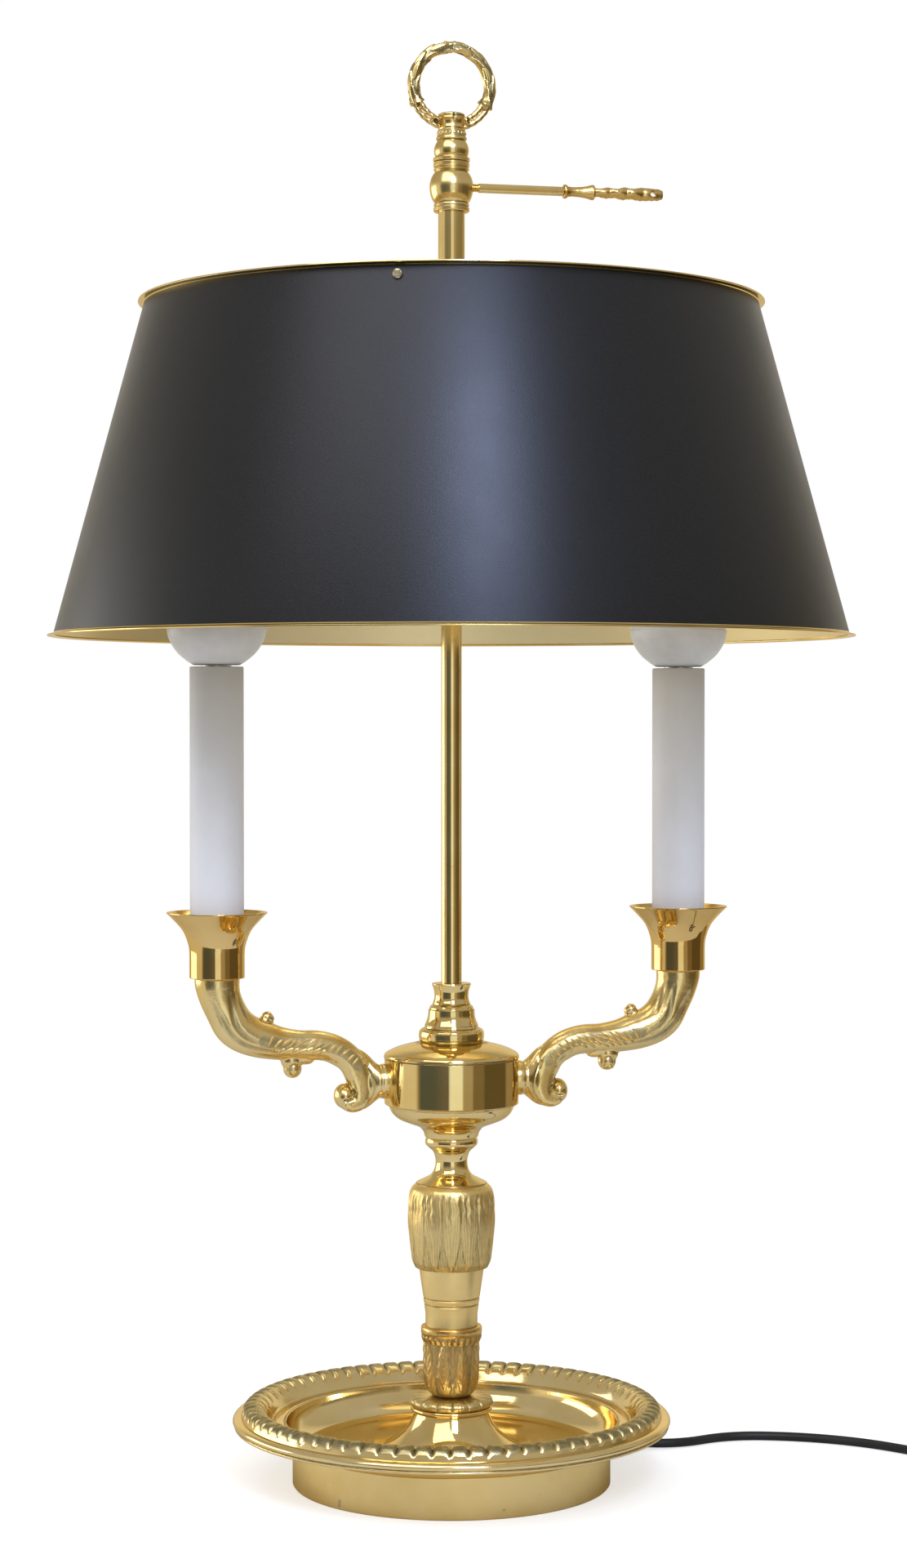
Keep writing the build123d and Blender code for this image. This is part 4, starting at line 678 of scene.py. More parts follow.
def brass(name, roughness, axis_x=0.0, turning=0.05, cast=0.0, specks=0.0, tarnish_and_shade=1.0, tones=BRASS):
    """Lacquered brass. Lathe lines run round an upright axis; cast skin is uneven; recesses are dark, with
    tarnish and with painted shade.
    """
    material, tree, spot = new_finish(name)
    shifted = put(tree, "ShaderNodeMapping", {"Vector": spot, "Location": (-axis_x * MM, 0, 0)}).outputs[0]
    apart = put(tree, "ShaderNodeSeparateXYZ", {"Vector": shifted})
    radius = put(tree, "ShaderNodeVectorMath", {
        0: put(tree, "ShaderNodeCombineXYZ", {"X": apart.outputs["X"], "Y": apart.outputs["Y"]}).outputs[0],
    }, operation="LENGTH").outputs["Value"]
    lathe_spot = put(tree, "ShaderNodeCombineXYZ", {"X": radius, "Z": apart.outputs["Z"]}).outputs[0]
    lines = noise(tree, lathe_spot, 1700.0, 3.0, 0.7)
    cloud = noise(tree, spot, 38.0, 4.0, 0.55)
    patches = noise(tree, spot, 210.0, 6.0, 0.7)
    skin = noise(tree, spot, 420.0, 3.0, 0.5)
    pits = noise(tree, spot, 130.0, 2.0)
    recess = put(tree, "ShaderNodeAttribute", attribute_name="recess").outputs["Fac"]
    metal = ramp(tree, cloud, [(0.32, tones[0]), (0.62, tones[1])])
    uneven = reckon(tree, "MULTIPLY_ADD", patches, 2.2, -0.35)
    # How dark the recesses go: partly tarnish, partly painted shade in creases, flutes and hollows.
    tarnish_and_shade_share = reckon(tree, "MULTIPLY", reckon(tree, "MULTIPLY", recess, uneven), tarnish_and_shade, clamp=True)
    spots = ramp(tree, pits, [(0.70, grey(0)), (0.74, grey(specks))])
    dark = blend_colours(tree, patches, TARNISH_AND_SHADE_BROWN, TARNISH_AND_SHADE_GREEN)
    shade = blend_colours(tree, reckon(tree, "MAXIMUM", tarnish_and_shade_share, spots), metal, dark)
    rough = reckon(tree, "MULTIPLY_ADD", cloud, 0.10, roughness - 0.05)
    rough = reckon(tree, "MULTIPLY_ADD", tarnish_and_shade_share, 0.30, rough)
    rough = reckon(tree, "MULTIPLY_ADD", lines, 0.06, reckon(tree, "SUBTRACT", rough, 0.03))
    ridge = bumped(tree, lines, turning, 0.0001)
    bumps = bumped(tree, skin, cast, 0.0005, ridge)
    surface(tree, {
        "Base Color": shade, "Metallic": 1.0, "Roughness": rough, "Normal": bumps,
        "Specular Tint": BRASS_EDGE,
    })
    return material


satin = brass("satin_brass", 0.30, turning=0.10, cast=0.03, specks=0.45, tones=PALE_BRASS)
polished = brass("polished_brass", 0.085, turning=0.03)
FOOT_RADIUS, FOOT_HEIGHT, FOOT_WALL = 78.1, 20.0, 2.6
foot_outline = section(
    (FOOT_RADIUS - FOOT_WALL, 0.0), (FOOT_RADIUS - 0.5, 0.0), (FOOT_RADIUS, 0.6),
    (FOOT_RADIUS, FOOT_HEIGHT), (FOOT_RADIUS - FOOT_WALL, FOOT_HEIGHT), edge=0.3,
)
turned("foot_band", foot_outline, satin, "satin_brass", "foot_ring", sides=180)


def dress(node, material):
    """Gives a carried-over part its finish."""
    bpy.data.objects[node].data.materials.clear()
    bpy.data.objects[node].data.materials.append(material)


def fibre(name, colour, other, scale):
    """Matted wool fibre."""
    material, tree, spot = new_finish(name)
    threads = noise(tree, spot, scale, 6.0, 0.8, 1.5)
    skin = ramp(tree, threads, [(0.3, colour), (0.7, other)])
    nap = bumped(tree, threads, 0.6, 0.0006)
    surface(tree, {"Base Color": skin, "Roughness": 0.95, "Normal": nap, "Sheen Weight": 0.4})
    return material


def plain_metal(name, colour, other, roughness, scale=120.0):
    """Unpolished metal with a mottled skin: cast iron, zinc or nickel plate, or plain brass."""
    material, tree, spot = new_finish(name)
    cloud = noise(tree, spot, scale, 6.0, 0.7)
    skin = ramp(tree, cloud, [(0.3, colour), (0.7, other)])
    rough = reckon(tree, "MULTIPLY_ADD", cloud, 0.25, roughness - 0.12)
    bumps = bumped(tree, cloud, 0.25, 0.0004)
    surface(tree, {"Base Color": skin, "Metallic": 1.0, "Roughness": rough, "Normal": bumps})
    return material


felt = fibre("green_felt", tint(34, 66, 44), tint(52, 92, 62), 900.0)
cast_iron = plain_metal("ballast_iron", grey(0.10), (0.22, 0.21, 0.20, 1), 0.62, 300.0)
zinc = plain_metal("zinc_steel", (0.42, 0.43, 0.44, 1), (0.60, 0.60, 0.58, 1), 0.35)
bright_brass = plain_metal("contact_brass", (0.72, 0.54, 0.24, 1), (0.84, 0.66, 0.34, 1), 0.32, 160.0)
nylon = moulding("black_nylon", tint(34, 34, 36), 0.5)
ceramic = moulding("block_cream", tint(206, 200, 184), 0.45)
sheath = moulding("wire_cover", tint(58, 52, 50), 0.42)
for node, finish in {
    "felt_pad": felt, "ballast_disc": cast_iron, "cord_grip": nylon, "stem_tube": zinc, "stem_washer": zinc,
    "lock_nuts": zinc, "inner_cable": sheath, "terminal_block": ceramic, "switch_screws": zinc,
}.items():
    dress(node, finish)

# --- base dish ------------------------------------------------------------------------------------
# One brass casting, polished in the well, with a rim of gadroons: 75 lobes with narrow grooves between
# them, left dull and tarnished, and a bright double lip outside them. It stands on the foot ring.
GADROONS = 75
BORE = 5.05  # radius of the hole for the threaded tube, and for the rod
dish_outline = [  # plain or lobed, steps in each span of its curve, points
    ("plain", 0, [(BORE, 14.5), (40.0, 14.5), (70.5, 14.5), (75.4, 19.7), (78.1, 20.0)]),
    ("plain", 3, [(78.1, 20.0), (84.0, 22.6), (91.1, 25.6), (98.0, 27.4), (104.0, 28.0)]),
    ("plain", 3, [(104.0, 28.0), (105.6, 28.1), (106.6, 28.6), (106.7, 29.4), (106.2, 29.9)]),
    ("plain", 2, [
        (106.2, 29.9), (107.0, 30.3), (107.5, 31.2), (107.3, 32.2), (106.4, 33.1), (104.8, 33.6),
        (103.4, 33.6),
    ]),
    ("lobe", 3, [
        (103.4, 33.6), (103.0, 35.0), (102.3, 36.8), (100.9, 38.4), (98.6, 39.3), (96.0, 39.3),
        (93.4, 38.2), (91.2, 36.2), (89.6, 33.8), (88.6, 32.0),
    ]),
    ("plain", 0, [
        (88.3, 31.3), (88.0, 31.0), (87.6, 31.0), (87.2, 30.55), (86.7, 30.55), (86.3, 31.0), (85.9, 31.05),
    ]),
    ("plain", 0, [(83.0, 31.05), (82.6, 31.0), (82.2, 30.6), (81.8, 30.6), (81.4, 30.9), (81.0, 30.7)]),
    ("plain", 5, [(81.0, 30.7), (80.0, 26.2), (77.0, 21.5), (72.5, 18.5), (67.5, 17.5)]),
    ("plain", 0, [(66.0, 17.5), (50.0, 17.5), (34.0, 17.5), (BORE, 17.5)]),
]


def sector(name, rows, copies, columns, shape):
    """One repeat of a carved ring. shape(share across, row) gives (radius, height, darkness there)."""
    work = bmesh.new()
    mark = work.verts.layers.float.new("recess")
    grid = []
    for row in rows:
        line = []
        for k in range(columns + 1):
            radius, height, darkness = shape(k / columns, row)
            turn = 2 * math.pi * (k / columns - 0.5) / copies
            vertex = work.verts.new(
                (radius * math.cos(turn) * MM, radius * math.sin(turn) * MM, height * MM)
            )
            vertex[mark] = darkness
            line.append(vertex)
        grid.append(line)
    for near, far in list(zip(grid, grid[1:])) + [(grid[-1], grid[0])]:
        for k in range(columns):
            work.faces.new((near[k], near[k + 1], far[k + 1], far[k]))
    mesh = bpy.data.meshes.new(name)
    work.to_mesh(mesh)
    work.free()
    return mesh


def node_tree_for(name, inputs):
    """Empty node tree with these named inputs."""
    tree = bpy.data.node_groups.new(name, "GeometryNodeTree")
    for label, kind in inputs:
        tree.interface.new_socket(label, in_out="INPUT", socket_type=kind)
    tree.interface.new_socket("Mesh", in_out="OUTPUT", socket_type="NodeSocketGeometry")
    return tree, tree.nodes.new("NodeGroupInput"), tree.nodes.new("NodeGroupOutput")


def grow(name, mesh, tree, settings, sharp=35.0):
    """Runs a node tree on a mesh and gives back the plain, smooth-shaded mesh that it makes."""
    holder = bpy.data.objects.new(name, mesh)
    bpy.context.scene.collection.objects.link(holder)
    change = holder.modifiers.new("grown", "NODES")
    change.node_group = tree
    for socket in tree.interface.items_tree:
        if socket.item_type == "SOCKET" and socket.in_out == "INPUT" and socket.name in settings:
            change[socket.identifier] = settings[socket.name]
    made = bpy.data.meshes.new_from_object(holder.evaluated_get(bpy.context.evaluated_depsgraph_get()))
    bpy.data.objects.remove(holder)
    work = bmesh.new()
    work.from_mesh(made)
    bmesh.ops.recalc_face_normals(work, faces=work.faces)
    work.to_mesh(made)
    work.free()
    made.name = name
    made.polygons.foreach_set("use_smooth", [True] * len(made.polygons))
    made.set_sharp_from_angle(angle=math.radians(sharp))
    return made


ring_tree, given, result = node_tree_for("ring_of_repeats", [
    ("Repeat", "NodeSocketGeometry"), ("Copies", "NodeSocketInt"), ("Seam", "NodeSocketFloat"),
    ("Finish", "NodeSocketMaterial"),
])
stands = put(ring_tree, "GeometryNodeMeshLine", {"Count": given.outputs["Copies"], "Offset": (0, 0, 0)})
number = put(ring_tree, "GeometryNodeInputIndex").outputs[0]
turn = reckon(
    ring_tree, "DIVIDE", reckon(ring_tree, "MULTIPLY", number, 2 * math.pi), given.outputs["Copies"],
)
spin = put(ring_tree, "FunctionNodeAxisAngleToRotation", {"Axis": (0, 0, 1), "Angle": turn}).outputs[0]
copies = put(
    ring_tree, "GeometryNodeInstanceOnPoints",
    {"Points": stands.outputs[0], "Instance": given.outputs["Repeat"], "Rotation": spin},
)
solid = put(ring_tree, "GeometryNodeRealizeInstances", {"Geometry": copies.outputs[0]})
welded = put(
    ring_tree, "GeometryNodeMergeByDistance",
    {"Geometry": solid.outputs[0], "Distance": given.outputs["Seam"]},
)
finished = put(
    ring_tree, "GeometryNodeSetMaterial",
    {"Geometry": welded.outputs[0], "Material": given.outputs["Finish"]},
)
ring_tree.links.new(finished.outputs[0], result.inputs[0])
SEAM_GAP = 1.5e-5


def carved_ring(name, rows, copies, columns, shape, metal, slot, node, sharp=35.0):
    """Casting round the stem's axis, grown from one repeat of its pattern."""
    repeat = sector(name + "_repeat", rows, copies, columns, shape)
    mesh = grow(name, repeat, ring_tree, {"Copies": copies, "Seam": SEAM_GAP, "Finish": metal}, sharp)
    return piece(name, mesh, "lamp", slot, node)


dish_rows = []
for kind, steps, points in dish_outline:
    if steps:
        points = smooth_run(points, steps)[1:]
    for place, point in enumerate(points):
        dish_rows.append((point, (place + 1) / (len(points) + 1) if kind == "lobe" else -1.0))


def held(value):
    """Keeps a share between 0 and 1."""
    return min(1.0, max(0.0, value))


def gadroon(across, row):
    """Flat-topped lobe with narrow grooves; the outer face under the lobes stays smooth and bright."""
    (radius, height), along = row
    if along < 0:
        scribed_line = 30.2 < height < 30.75 and 81.3 < radius < 87.5
        under_lip = radius > 103 and 29.2 < height < 30.1
        return radius, height, 0.8 if scribed_line else 0.6 if under_lip else 0.0
    crown = 1 - abs(2 * across - 1) ** 5.5
    strength = held((along - 0.12) / 0.14) * held((0.82 - along) / 0.18)
    inward = math.pi * (0.12 + 0.80 * along)
    cut = (1.5 * (1 - crown) - 0.15 * crown) * strength
    on_top = held((along - 0.17) / 0.06) * held((0.66 - along) / 0.16)
    outer_gap = (1 - crown) * max(0.0, 1 - along / 0.34)
    darkness = max(on_top * (1 - 0.9 * outer_gap), 0.85 * (1 - crown) * strength * min(1.0, along / 0.4))
    return radius - cut * math.cos(inward), height - cut * math.sin(inward), darkness


dish_metal = brass("dish_brass", 0.10, turning=0.03, tarnish_and_shade=1.1, tones=DISH_BRASS)
carved_ring(
    "dish_casting", dish_rows, GADROONS, 12, gadroon, dish_metal, "polished_brass", "base_dish", sharp=45.0,
)

# --- trumpet foot and leaf collar of the stem -----------------------------------------------------
# A spun brass trumpet stands in the dish, and a cast collar of small leaves lies on its rim. Both are
# threaded over the stem's tube.
foot_section = section(
    (28.5, 17.5), (33.5, 17.5), (33.4, 18.1),
    [(29.0, 20.4), (24.6, 23.8), (21.2, 28.2), (19.0, 32.4), (18.1, 34.6)],
    (19.5, 35.0), [(20.1, 36.0), (19.8, 37.1), (18.9, 37.5)], (BORE, 37.5), (BORE, 34.5), (14.0, 34.5),
    (17.0, 26.0),
)
turned("trumpet_foot", foot_section, polished, "polished_brass", "stem_foot")

antique = brass("cast_brass", 0.28, turning=0.0, cast=0.22, tarnish_and_shade=0.9)
COLLAR_LEAVES = 16
collar_rows = [(BORE, 37.5), (12.0, 37.5), (18.2, 37.5)]
collar_rows += smooth_run(
    [(18.2, 37.5), (19.8, 38.0), (20.6, 39.3), (20.2, 40.9), (18.6, 42.1), (16.0, 42.5)], 4,
)[1:]
collar_rows += [(14.0, 42.5), (12.2, 42.3), (10.0, 42.5), (BORE, 42.5)]


def collar_leaf(across, row):
    """Round-ended leaf with five fine ribs."""
    radius, height = row
    if radius < 12.5 or height < 37.6:
        return radius, height, 0.0
    fan = abs(2 * across - 1)
    scallop = math.sqrt(max(0.0, 1 - fan ** 2))
    ribs = 0.5 + 0.5 * math.cos(5 * math.pi * (2 * across - 1))
    edge = min(1.0, (radius - 12.5) / 4.0)
    sink = edge * (0.9 * (1 - scallop) + 0.22 * (1 - ribs))
    return radius - sink * 0.7, height - sink * 0.5, edge * (0.35 + 0.65 * (1 - scallop))


carved_ring(
    "collar_of_leaves", collar_rows, COLLAR_LEAVES, 14, collar_leaf, antique, "satin_brass", "leaf_collar",
)

# --- lower leaf cup and cone ----------------------------------------------------------------------
# The cup is cast brass, with tall upright leaves under a row of small leaf tips. The satin cone above it
# is turned and has two scribed lines. Both are clamped on the stem's tube.
CUP_LEAVES = 9
cup_rows = [(BORE, 42.5), (9.0, 42.5), (10.4, 43.0), (11.5, 44.4)]
cup_rows += smooth_run(
    [(12.3, 46.0), (13.3, 50.0), (13.6, 56.0), (13.7, 62.0), (13.8, 67.0), (13.9, 69.4)], 9,
)
cup_rows += [
    (14.1, 69.8), (14.5, 70.4), (14.8, 71.2), (14.9, 72.0), (14.8, 72.6), (14.6, 72.9), (14.75, 73.2),
    (15.0, 73.6),
]
cup_rows += [(15.0, 76.4), (14.7, 76.9), (12.9, 77.0), (BORE, 77.0)]


def peak(away):
    """Smooth peak: 1 at its middle, and nearly nothing at twice its width."""
    return math.exp(-away ** 2)


def acanthus(across, row):
    """Upright lobed leaf with a midrib and slanting veins, under a band of small tips."""
    radius, height = row
    if radius < 9.0 or height > 73.3:
        return radius, height, 0.0
    side = abs(2 * across - 1)
    if height > 69.0:
        tips = abs(math.sin(2 * math.pi * across * 1.5))
        dip = 0.7 * (1 - tips) if height < 72.7 else 0.0
        return radius - dip, height, 0.25 + 0.75 * (1 - tips) if height < 72.7 else 0.5
    share = max(0.0, (height - 43.0) / 26.5)
    half = 0.92 * max(0.03, 1 - (share / 0.98) ** 2.4) ** 0.5
    half *= 1 - 0.16 * abs(math.sin(share * 5.2 * math.pi))
    inside = max(0.0, 1 - (side / half) ** 2.5) if side < half else 0.0
    midrib = peak(side / 0.10)
    veins = 0.5 + 0.5 * math.cos(2 * math.pi * (share * 5.0 - side * 2.6 + 0.12 * math.sin(across * 9.0)))
    between = max(0.0, 1 - (abs(side - 1) / 0.30) ** 2) * max(0.0, share - 0.35)
    relief = 0.62 * inside ** 0.6 + 0.35 * midrib * inside + 0.36 * veins * inside + 0.55 * between
    fade = min(1.0, (height - 43.2) / 2.0, (69.8 - height) / 0.8)
    relief = max(0.0, relief) * max(0.0, fade)
    # Darker towards the foot of the leaves.
    darker_low_down = 0.15 + 0.30 * max(0.0, 1 - share / 0.45)
    return radius - 0.75 + relief * 0.95, height, min(1.0, darker_low_down + 0.6 * max(0.0, 1 - relief * 1.5))


leaf_metal = brass("leaf_brass", 0.26, turning=0.0, cast=0.34, tarnish_and_shade=1.0, tones=AMBER_BRASS)
carved_ring(
    "leaf_cup", cup_rows, CUP_LEAVES, 20, acanthus, leaf_metal, "satin_brass", "lower_cup", sharp=60.0,
)

cone_metal = brass("turned_satin_brass", 0.30, turning=0.12, cast=0.04, tones=PALE_BRASS)
cone_steps = [(BORE, 77.0), (12.8, 77.0), (12.8, 83.0)]
scribed = []
for line in (87.8, 91.0):
    at_line = 12.8 + 3.2 * (line - 83.0) / 22.8  # the cone widens from 12.8 to 16.0 over 22.8
    scribed += [(at_line - 0.04, line - 0.55), (at_line - 0.5, line), (at_line + 0.04, line + 0.55)]
cone_section = section(*cone_steps, *scribed, (16.0, 105.8), (16.0, 109.0), (BORE, 109.0), edge=0.15)
turned("cone", cone_section, cone_metal, "satin_brass", "stem_cone", creases=(87.8, 91.0, 77.0))

# --- leaf bell ------------------------------------------------------------------------------------
# Cast brass bell of long hanging leaves: narrow upright ridges at the shoulder, chased lines down each
# blade and pointed gaps between the tips. It caps the cone.
BELL_LEAVES = 14
bell_rows = [(16.05, 105.8), (17.6, 105.8), (18.2, 106.3)]
bell_rows += smooth_run([
    (18.6, 107.2), (19.4, 109.0), (19.9, 112.0), (20.3, 116.0), (20.7, 120.0), (21.1, 124.0), (21.4, 128.0),
    (21.4, 133.0), (21.3, 137.0), (21.0, 140.4), (20.4, 143.0), (19.5, 145.0), (18.2, 146.4), (17.3, 147.0),
], 7)
bell_rows += [(14.0, 147.0), (BORE, 147.0), (BORE, 140.5), (13.55, 140.5), (13.55, 109.0), (16.05, 109.0)]


def hanging_leaf(across, row):
    """Long blade with a raised midrib and chased lines, ridged at the shoulder and pointed at its foot."""
    radius, height = row
    if radius <= 17.0 or height <= 106.0 or height >= 147.0:
        return radius, height, 0.0
    side = abs(2 * across - 1)
    low = (height - 106.0) / 41.0
    gap = max(0.0, 1 - low / 0.42)
    half = 1 - 0.80 * gap ** 1.3
    outside = 1.0 if side > half else 0.0
    border = peak((side - half) / 0.055) if low < 0.42 else peak((side - 1) / 0.05) * 0.7
    midrib = peak(side / 0.06)
    chased = 0.5 + 0.5 * math.cos(2 * math.pi * (side * 3.6 + 0.5 * math.sin(low * 7.0)))
    ridges = 0.5 + 0.5 * math.cos(2 * math.pi * (across * 3.0 + 0.10 * math.sin(low * 40.0)))
    ridges *= 0.65 + 0.35 * math.sin(2 * math.pi * across + 0.7)
    shoulder = held((low - 0.58 - 0.06 * math.sin(across * 9.0)) / 0.16) * held((0.93 - low) / 0.12)
    blotch = peak((height - 134.6) / 1.5) * (0.4 + 0.6 * abs(math.sin(math.pi * across * 3.0)))
    sink = 0.40 * outside * min(1.0, gap * 3) + 0.40 * border + 0.85 * ridges * shoulder
    sink += 0.16 * (chased - midrib) * (1 - shoulder) + 0.10 * blotch
    fade = min(1.0, (height - 106.0) / 0.8, max(0.0, (145.0 - height) / 3.0))
    darkness = 0.12 + 0.60 * border + 0.30 * outside * gap
    darkness += 0.45 * chased * (1 - shoulder) + 0.35 * ridges * shoulder
    darkness += 0.55 * blotch * ridges + 0.8 * max(0.0, 1 - (height - 105.8) / 1.6)
    return radius - sink * max(0.0, fade), height, min(1.0, darkness) * held(fade * 2)


bell_metal = brass("bell_brass", 0.31, turning=0.0, cast=0.32, tarnish_and_shade=0.85, tones=PALE_BRASS)
carved_ring(
    "bell_of_leaves", bell_rows, BELL_LEAVES, 24, hanging_leaf, bell_metal, "satin_brass", "leaf_bell",
    sharp=60.0,
)

# --- neck, hub and its lid ------------------------------------------------------------------------
# Turned brass, mirror polished. The drum of the hub is hollow for the wires and takes an arm on each
# side; the lid drops into it.
neck_section = section(
    (BORE, 147.0), (17.3, 147.0),
    [
        (17.2, 147.6), (14.4, 149.0), (10.6, 151.0), (8.9, 153.0), (8.1, 155.2), (7.8, 158.0), (8.2, 160.6),
        (9.1, 162.8), (11.0, 164.6), (11.6, 165.2),
    ],
    (12.2, 165.7), [(12.8, 166.6), (12.9, 168.0), (12.6, 169.2), (12.2, 170.0)], (BORE, 170.0), edge=0.2,
)
turned("neck", neck_section, polished, "polished_brass", "neck_baluster", creases=(165.4, 147.3))
hub_section = section(
    (BORE, 170.0), (13.0, 170.0), (13.3, 170.9),
    [
        (14.1, 173.0), (16.4, 175.1), (21.6, 177.1), (26.0, 179.0), (28.7, 181.2), (30.0, 183.2),
        (30.7, 185.0),
    ],
    (31.2, 185.4), (31.3, 186.0), (32.6, 186.2), (32.9, 186.6), (32.9, 208.3), (32.6, 208.6), (30.7, 208.6),
    (30.7, 187.6), [(28.4, 182.6), (21.7, 180.5)], (BORE, 180.5), edge=0.22,
)
hub_metal = brass("hub_brass", 0.075, turning=0.035)
turned("hub_drum", hub_section, hub_metal, "polished_brass", "hub_body", sides=180, creases=(186.1, 208.5))
lid_section = section(
    (BORE, 213.8), (19.0, 212.9), (28.6, 209.0), (28.6, 206.6), (30.65, 206.6), (30.65, 208.6),
    (32.9, 208.6), (33.2, 208.9), (33.2, 209.6),
    [(32.5, 211.0), (30.2, 212.4), (27.0, 213.8), (23.0, 215.0), (19.6, 215.8), (17.0, 216.4)],
    (16.0, 216.5), (BORE, 216.5), edge=0.2,
)
turned("hub_cover", lid_section, polished, "polished_brass", "hub_lid", sides=180, creases=(208.7, 216.4))

# --- rod socket and centre rod --------------------------------------------------------------------
# A turned socket screws onto the stem's tube and holds the plain rod that the shade slides on.
socket_section = section(
    (BORE, 216.5), (15.2, 216.5), (15.5, 217.0),
    [(15.9, 218.2), (16.0, 220.4), (15.7, 222.0), (14.9, 223.0)], (13.3, 223.6), (13.0, 224.6),
    (13.1, 225.0),
    [(12.2, 227.0), (11.6, 229.0), (11.4, 231.0), (11.3, 232.4)], (10.9, 232.7), (10.7, 233.5),
    (10.3, 234.3), (9.2, 235.0),
    [(9.1, 235.8), (8.5, 237.6), (8.35, 239.4), (8.6, 241.8), (9.2, 243.8), (9.6, 244.8)], (9.4, 245.4),
    (BORE, 245.4), (BORE, 229.5), (0.0, 229.5), (0.0, 226.5), (BORE, 226.5), edge=0.18,
)
turned(
    "socket", socket_section, polished, "polished_brass", "rod_socket",
    creases=(223.4, 224.8, 232.5, 235.0),
)
rod_section = section(
    (0.0, 229.5), (4.6, 229.5), (5.0, 229.9), (5.0, 646.5), (3.0, 646.5), (3.0, 655.2), (2.7, 655.5),
    (0.0, 655.5), edge=0.15,
)
rod_metal = brass("drawn_brass", 0.12, turning=0.0, specks=0.15)
turned("rod", rod_section, rod_metal, "polished_brass", "centre_rod", sides=64)


# --- arms -----------------------------------------------------------------------------------------
# Two S-scroll arms, each one brass casting held to the hub by a threaded nipple. It swells from a trumpet
# root, curls into a volute, and carries a strip of chased leaf veins, a bud and a curled leaf tip; wide
# flutes run up both faces to the cup.
ARM_REACH, ARM_Z = 116.0, 198.0
ARM_LINE = [
    (116.0, 250.0, 10.8), (115.9, 247.0, 10.8), (115.2, 243.0, 10.3), (114.0, 239.0, 9.9),
    (111.5, 233.4, 9.7), (108.2, 227.6, 10.0), (104.2, 224.0, 9.9), (99.0, 221.4, 9.5), (92.5, 219.4, 9.0),
    (85.0, 217.6, 8.0), (76.0, 216.6, 7.3), (68.0, 216.4, 7.2), (61.5, 215.3, 7.0), (56.3, 213.0, 7.0),
    (51.9, 209.9, 6.7), (48.8, 205.8, 6.4), (46.9, 201.2, 6.2), (45.7, 196.6, 5.8), (45.5, 192.2, 5.2),
    (46.8, 188.6, 4.4), (50.4, 187.2, 3.8), (53.4, 188.6, 3.6),
]
ARM_STEPS, ARM_SIDES = 6, 72
BUD_PLACE, DROP_PLACE, BALL_PLACE, CURL_PLACE = (91.0, 229.6), (79.2, 205.2), (53.7, 191.3), (50.1, 193.5)


def arm_spine():
    """Places, thicknesses and headings along the arm, from the cup to the volute."""
    run = smooth_run(ARM_LINE, ARM_STEPS)
    spine = []
    for k, (x, z, thick) in enumerate(run):
        before, after = run[max(k - 1, 0)], run[min(k + 1, len(run) - 1)]
        heading = Vector((after[0] - before[0], 0, after[1] - before[1])).normalized()
        if k == 0:
            heading = Vector((0, 0, -1))
        spine.append((Vector((x, 0, z)), thick, heading))
    return spine


def side_of(heading, turn):
    """Direction out of the arm; turn 0 is its outer and lower side, a quarter turn is its front."""
    return Vector((-heading.z, 0, heading.x)) * math.cos(turn) + Vector((0, -1, 0)) * math.sin(turn)


FLUTES = (  # along the arm and how far round, in half turns, then half width
    ([(7.0, 0.64), (14.0, 0.60), (22.0, 0.52), (32.0, 0.46), (42.0, 0.45)], 0.17),
    ([(8.0, 0.33), (20.0, 0.36), (34.0, 0.32), (50.0, 0.33)], 0.19),
    ([(9.0, 0.80), (20.0, 0.76), (30.0, 0.70)], 0.16),
)


def flute(gone, turn):
    """How deep the flutes of the upper arm are, 0 to 1; they run down both its faces."""
    deepest = 0.0
    for line, wide in FLUTES:
        first, last = line[0][0], line[-1][0]
        if not first < gone < last:
            continue
        middle = float(np.interp(gone, *zip(*line))) * math.pi
        along = math.sin(math.pi * (gone - first) / (last - first)) ** 0.7
        for side in (1, -1):
            away = turn - side * middle
            gap = abs(math.atan2(math.sin(away), math.cos(away))) / (wide * (0.4 + 0.6 * along))
            deepest = max(deepest, along * max(0.0, 1 - gap * gap))
    return deepest


spine = arm_spine()
stretch = [0.0]
for (near, _, _), (far, _, _) in zip(spine, spine[1:]):
    stretch.append(stretch[-1] + (far - near).length)
arm_work = bmesh.new()
arm_rings = []
SCROLL_HALF_WIDTH, FLUTE_DEPTH = 6.2, 0.8
for (middle, thick, heading), gone in zip(spine, stretch):
    flat = held((212.0 - middle.z) / 7.0) if middle.x < 60.0 else 0.0
    broad = max(thick, SCROLL_HALF_WIDTH * flat)
    ring = []
    for n in range(ARM_SIDES):
        turn = 2 * math.pi * n / ARM_SIDES
        circle = (math.cos(turn), math.sin(turn))
        away = [math.copysign(abs(part) ** (1 - 0.4 * flat), part) for part in circle]
        cut = FLUTE_DEPTH * flute(gone, turn)
        outwards, forwards = side_of(heading, 0) * away[0], Vector((0, -1, 0)) * away[1]
        ring.append(middle + outwards * (thick - cut) + forwards * (broad - cut))
    arm_rings.append(ring)
skin_over(arm_rings, arm_work)
HUB_SIDE = 32.9
ROOT_SECTION = [
    (-1.8, 5.1), (-1.8, 8.2), (0.3, 8.5), (2.3, 8.5), (2.7, 8.1), (3.4, 8.0), (4.2, 8.5), (6.1, 10.1),
    (8.2, 11.9), (10.3, 13.2), (12.4, 13.9), (14.0, 14.2), (15.2, 12.6), (15.8, 9.0), (15.8, 0.1),
]
root_rings = ring_lathe(ROOT_SECTION, Vector((HUB_SIDE, 0, ARM_Z)), Vector((1, 0, 0)), 64)
for (along, wide), ring in zip(ROOT_SECTION, root_rings):
    depth = float(np.interp(along, [4.2, 12.0], [8.5, 5.0])) if along > 4.2 else wide
    rise = 1 + 0.15 * held((along - 6.0) / 8.0)
    for point in ring:
        point.y *= min(1.0, depth / wide)
        if point.z > ARM_Z:
            point.z = ARM_Z + (point.z - ARM_Z) * rise
skin_over(root_rings, arm_work)


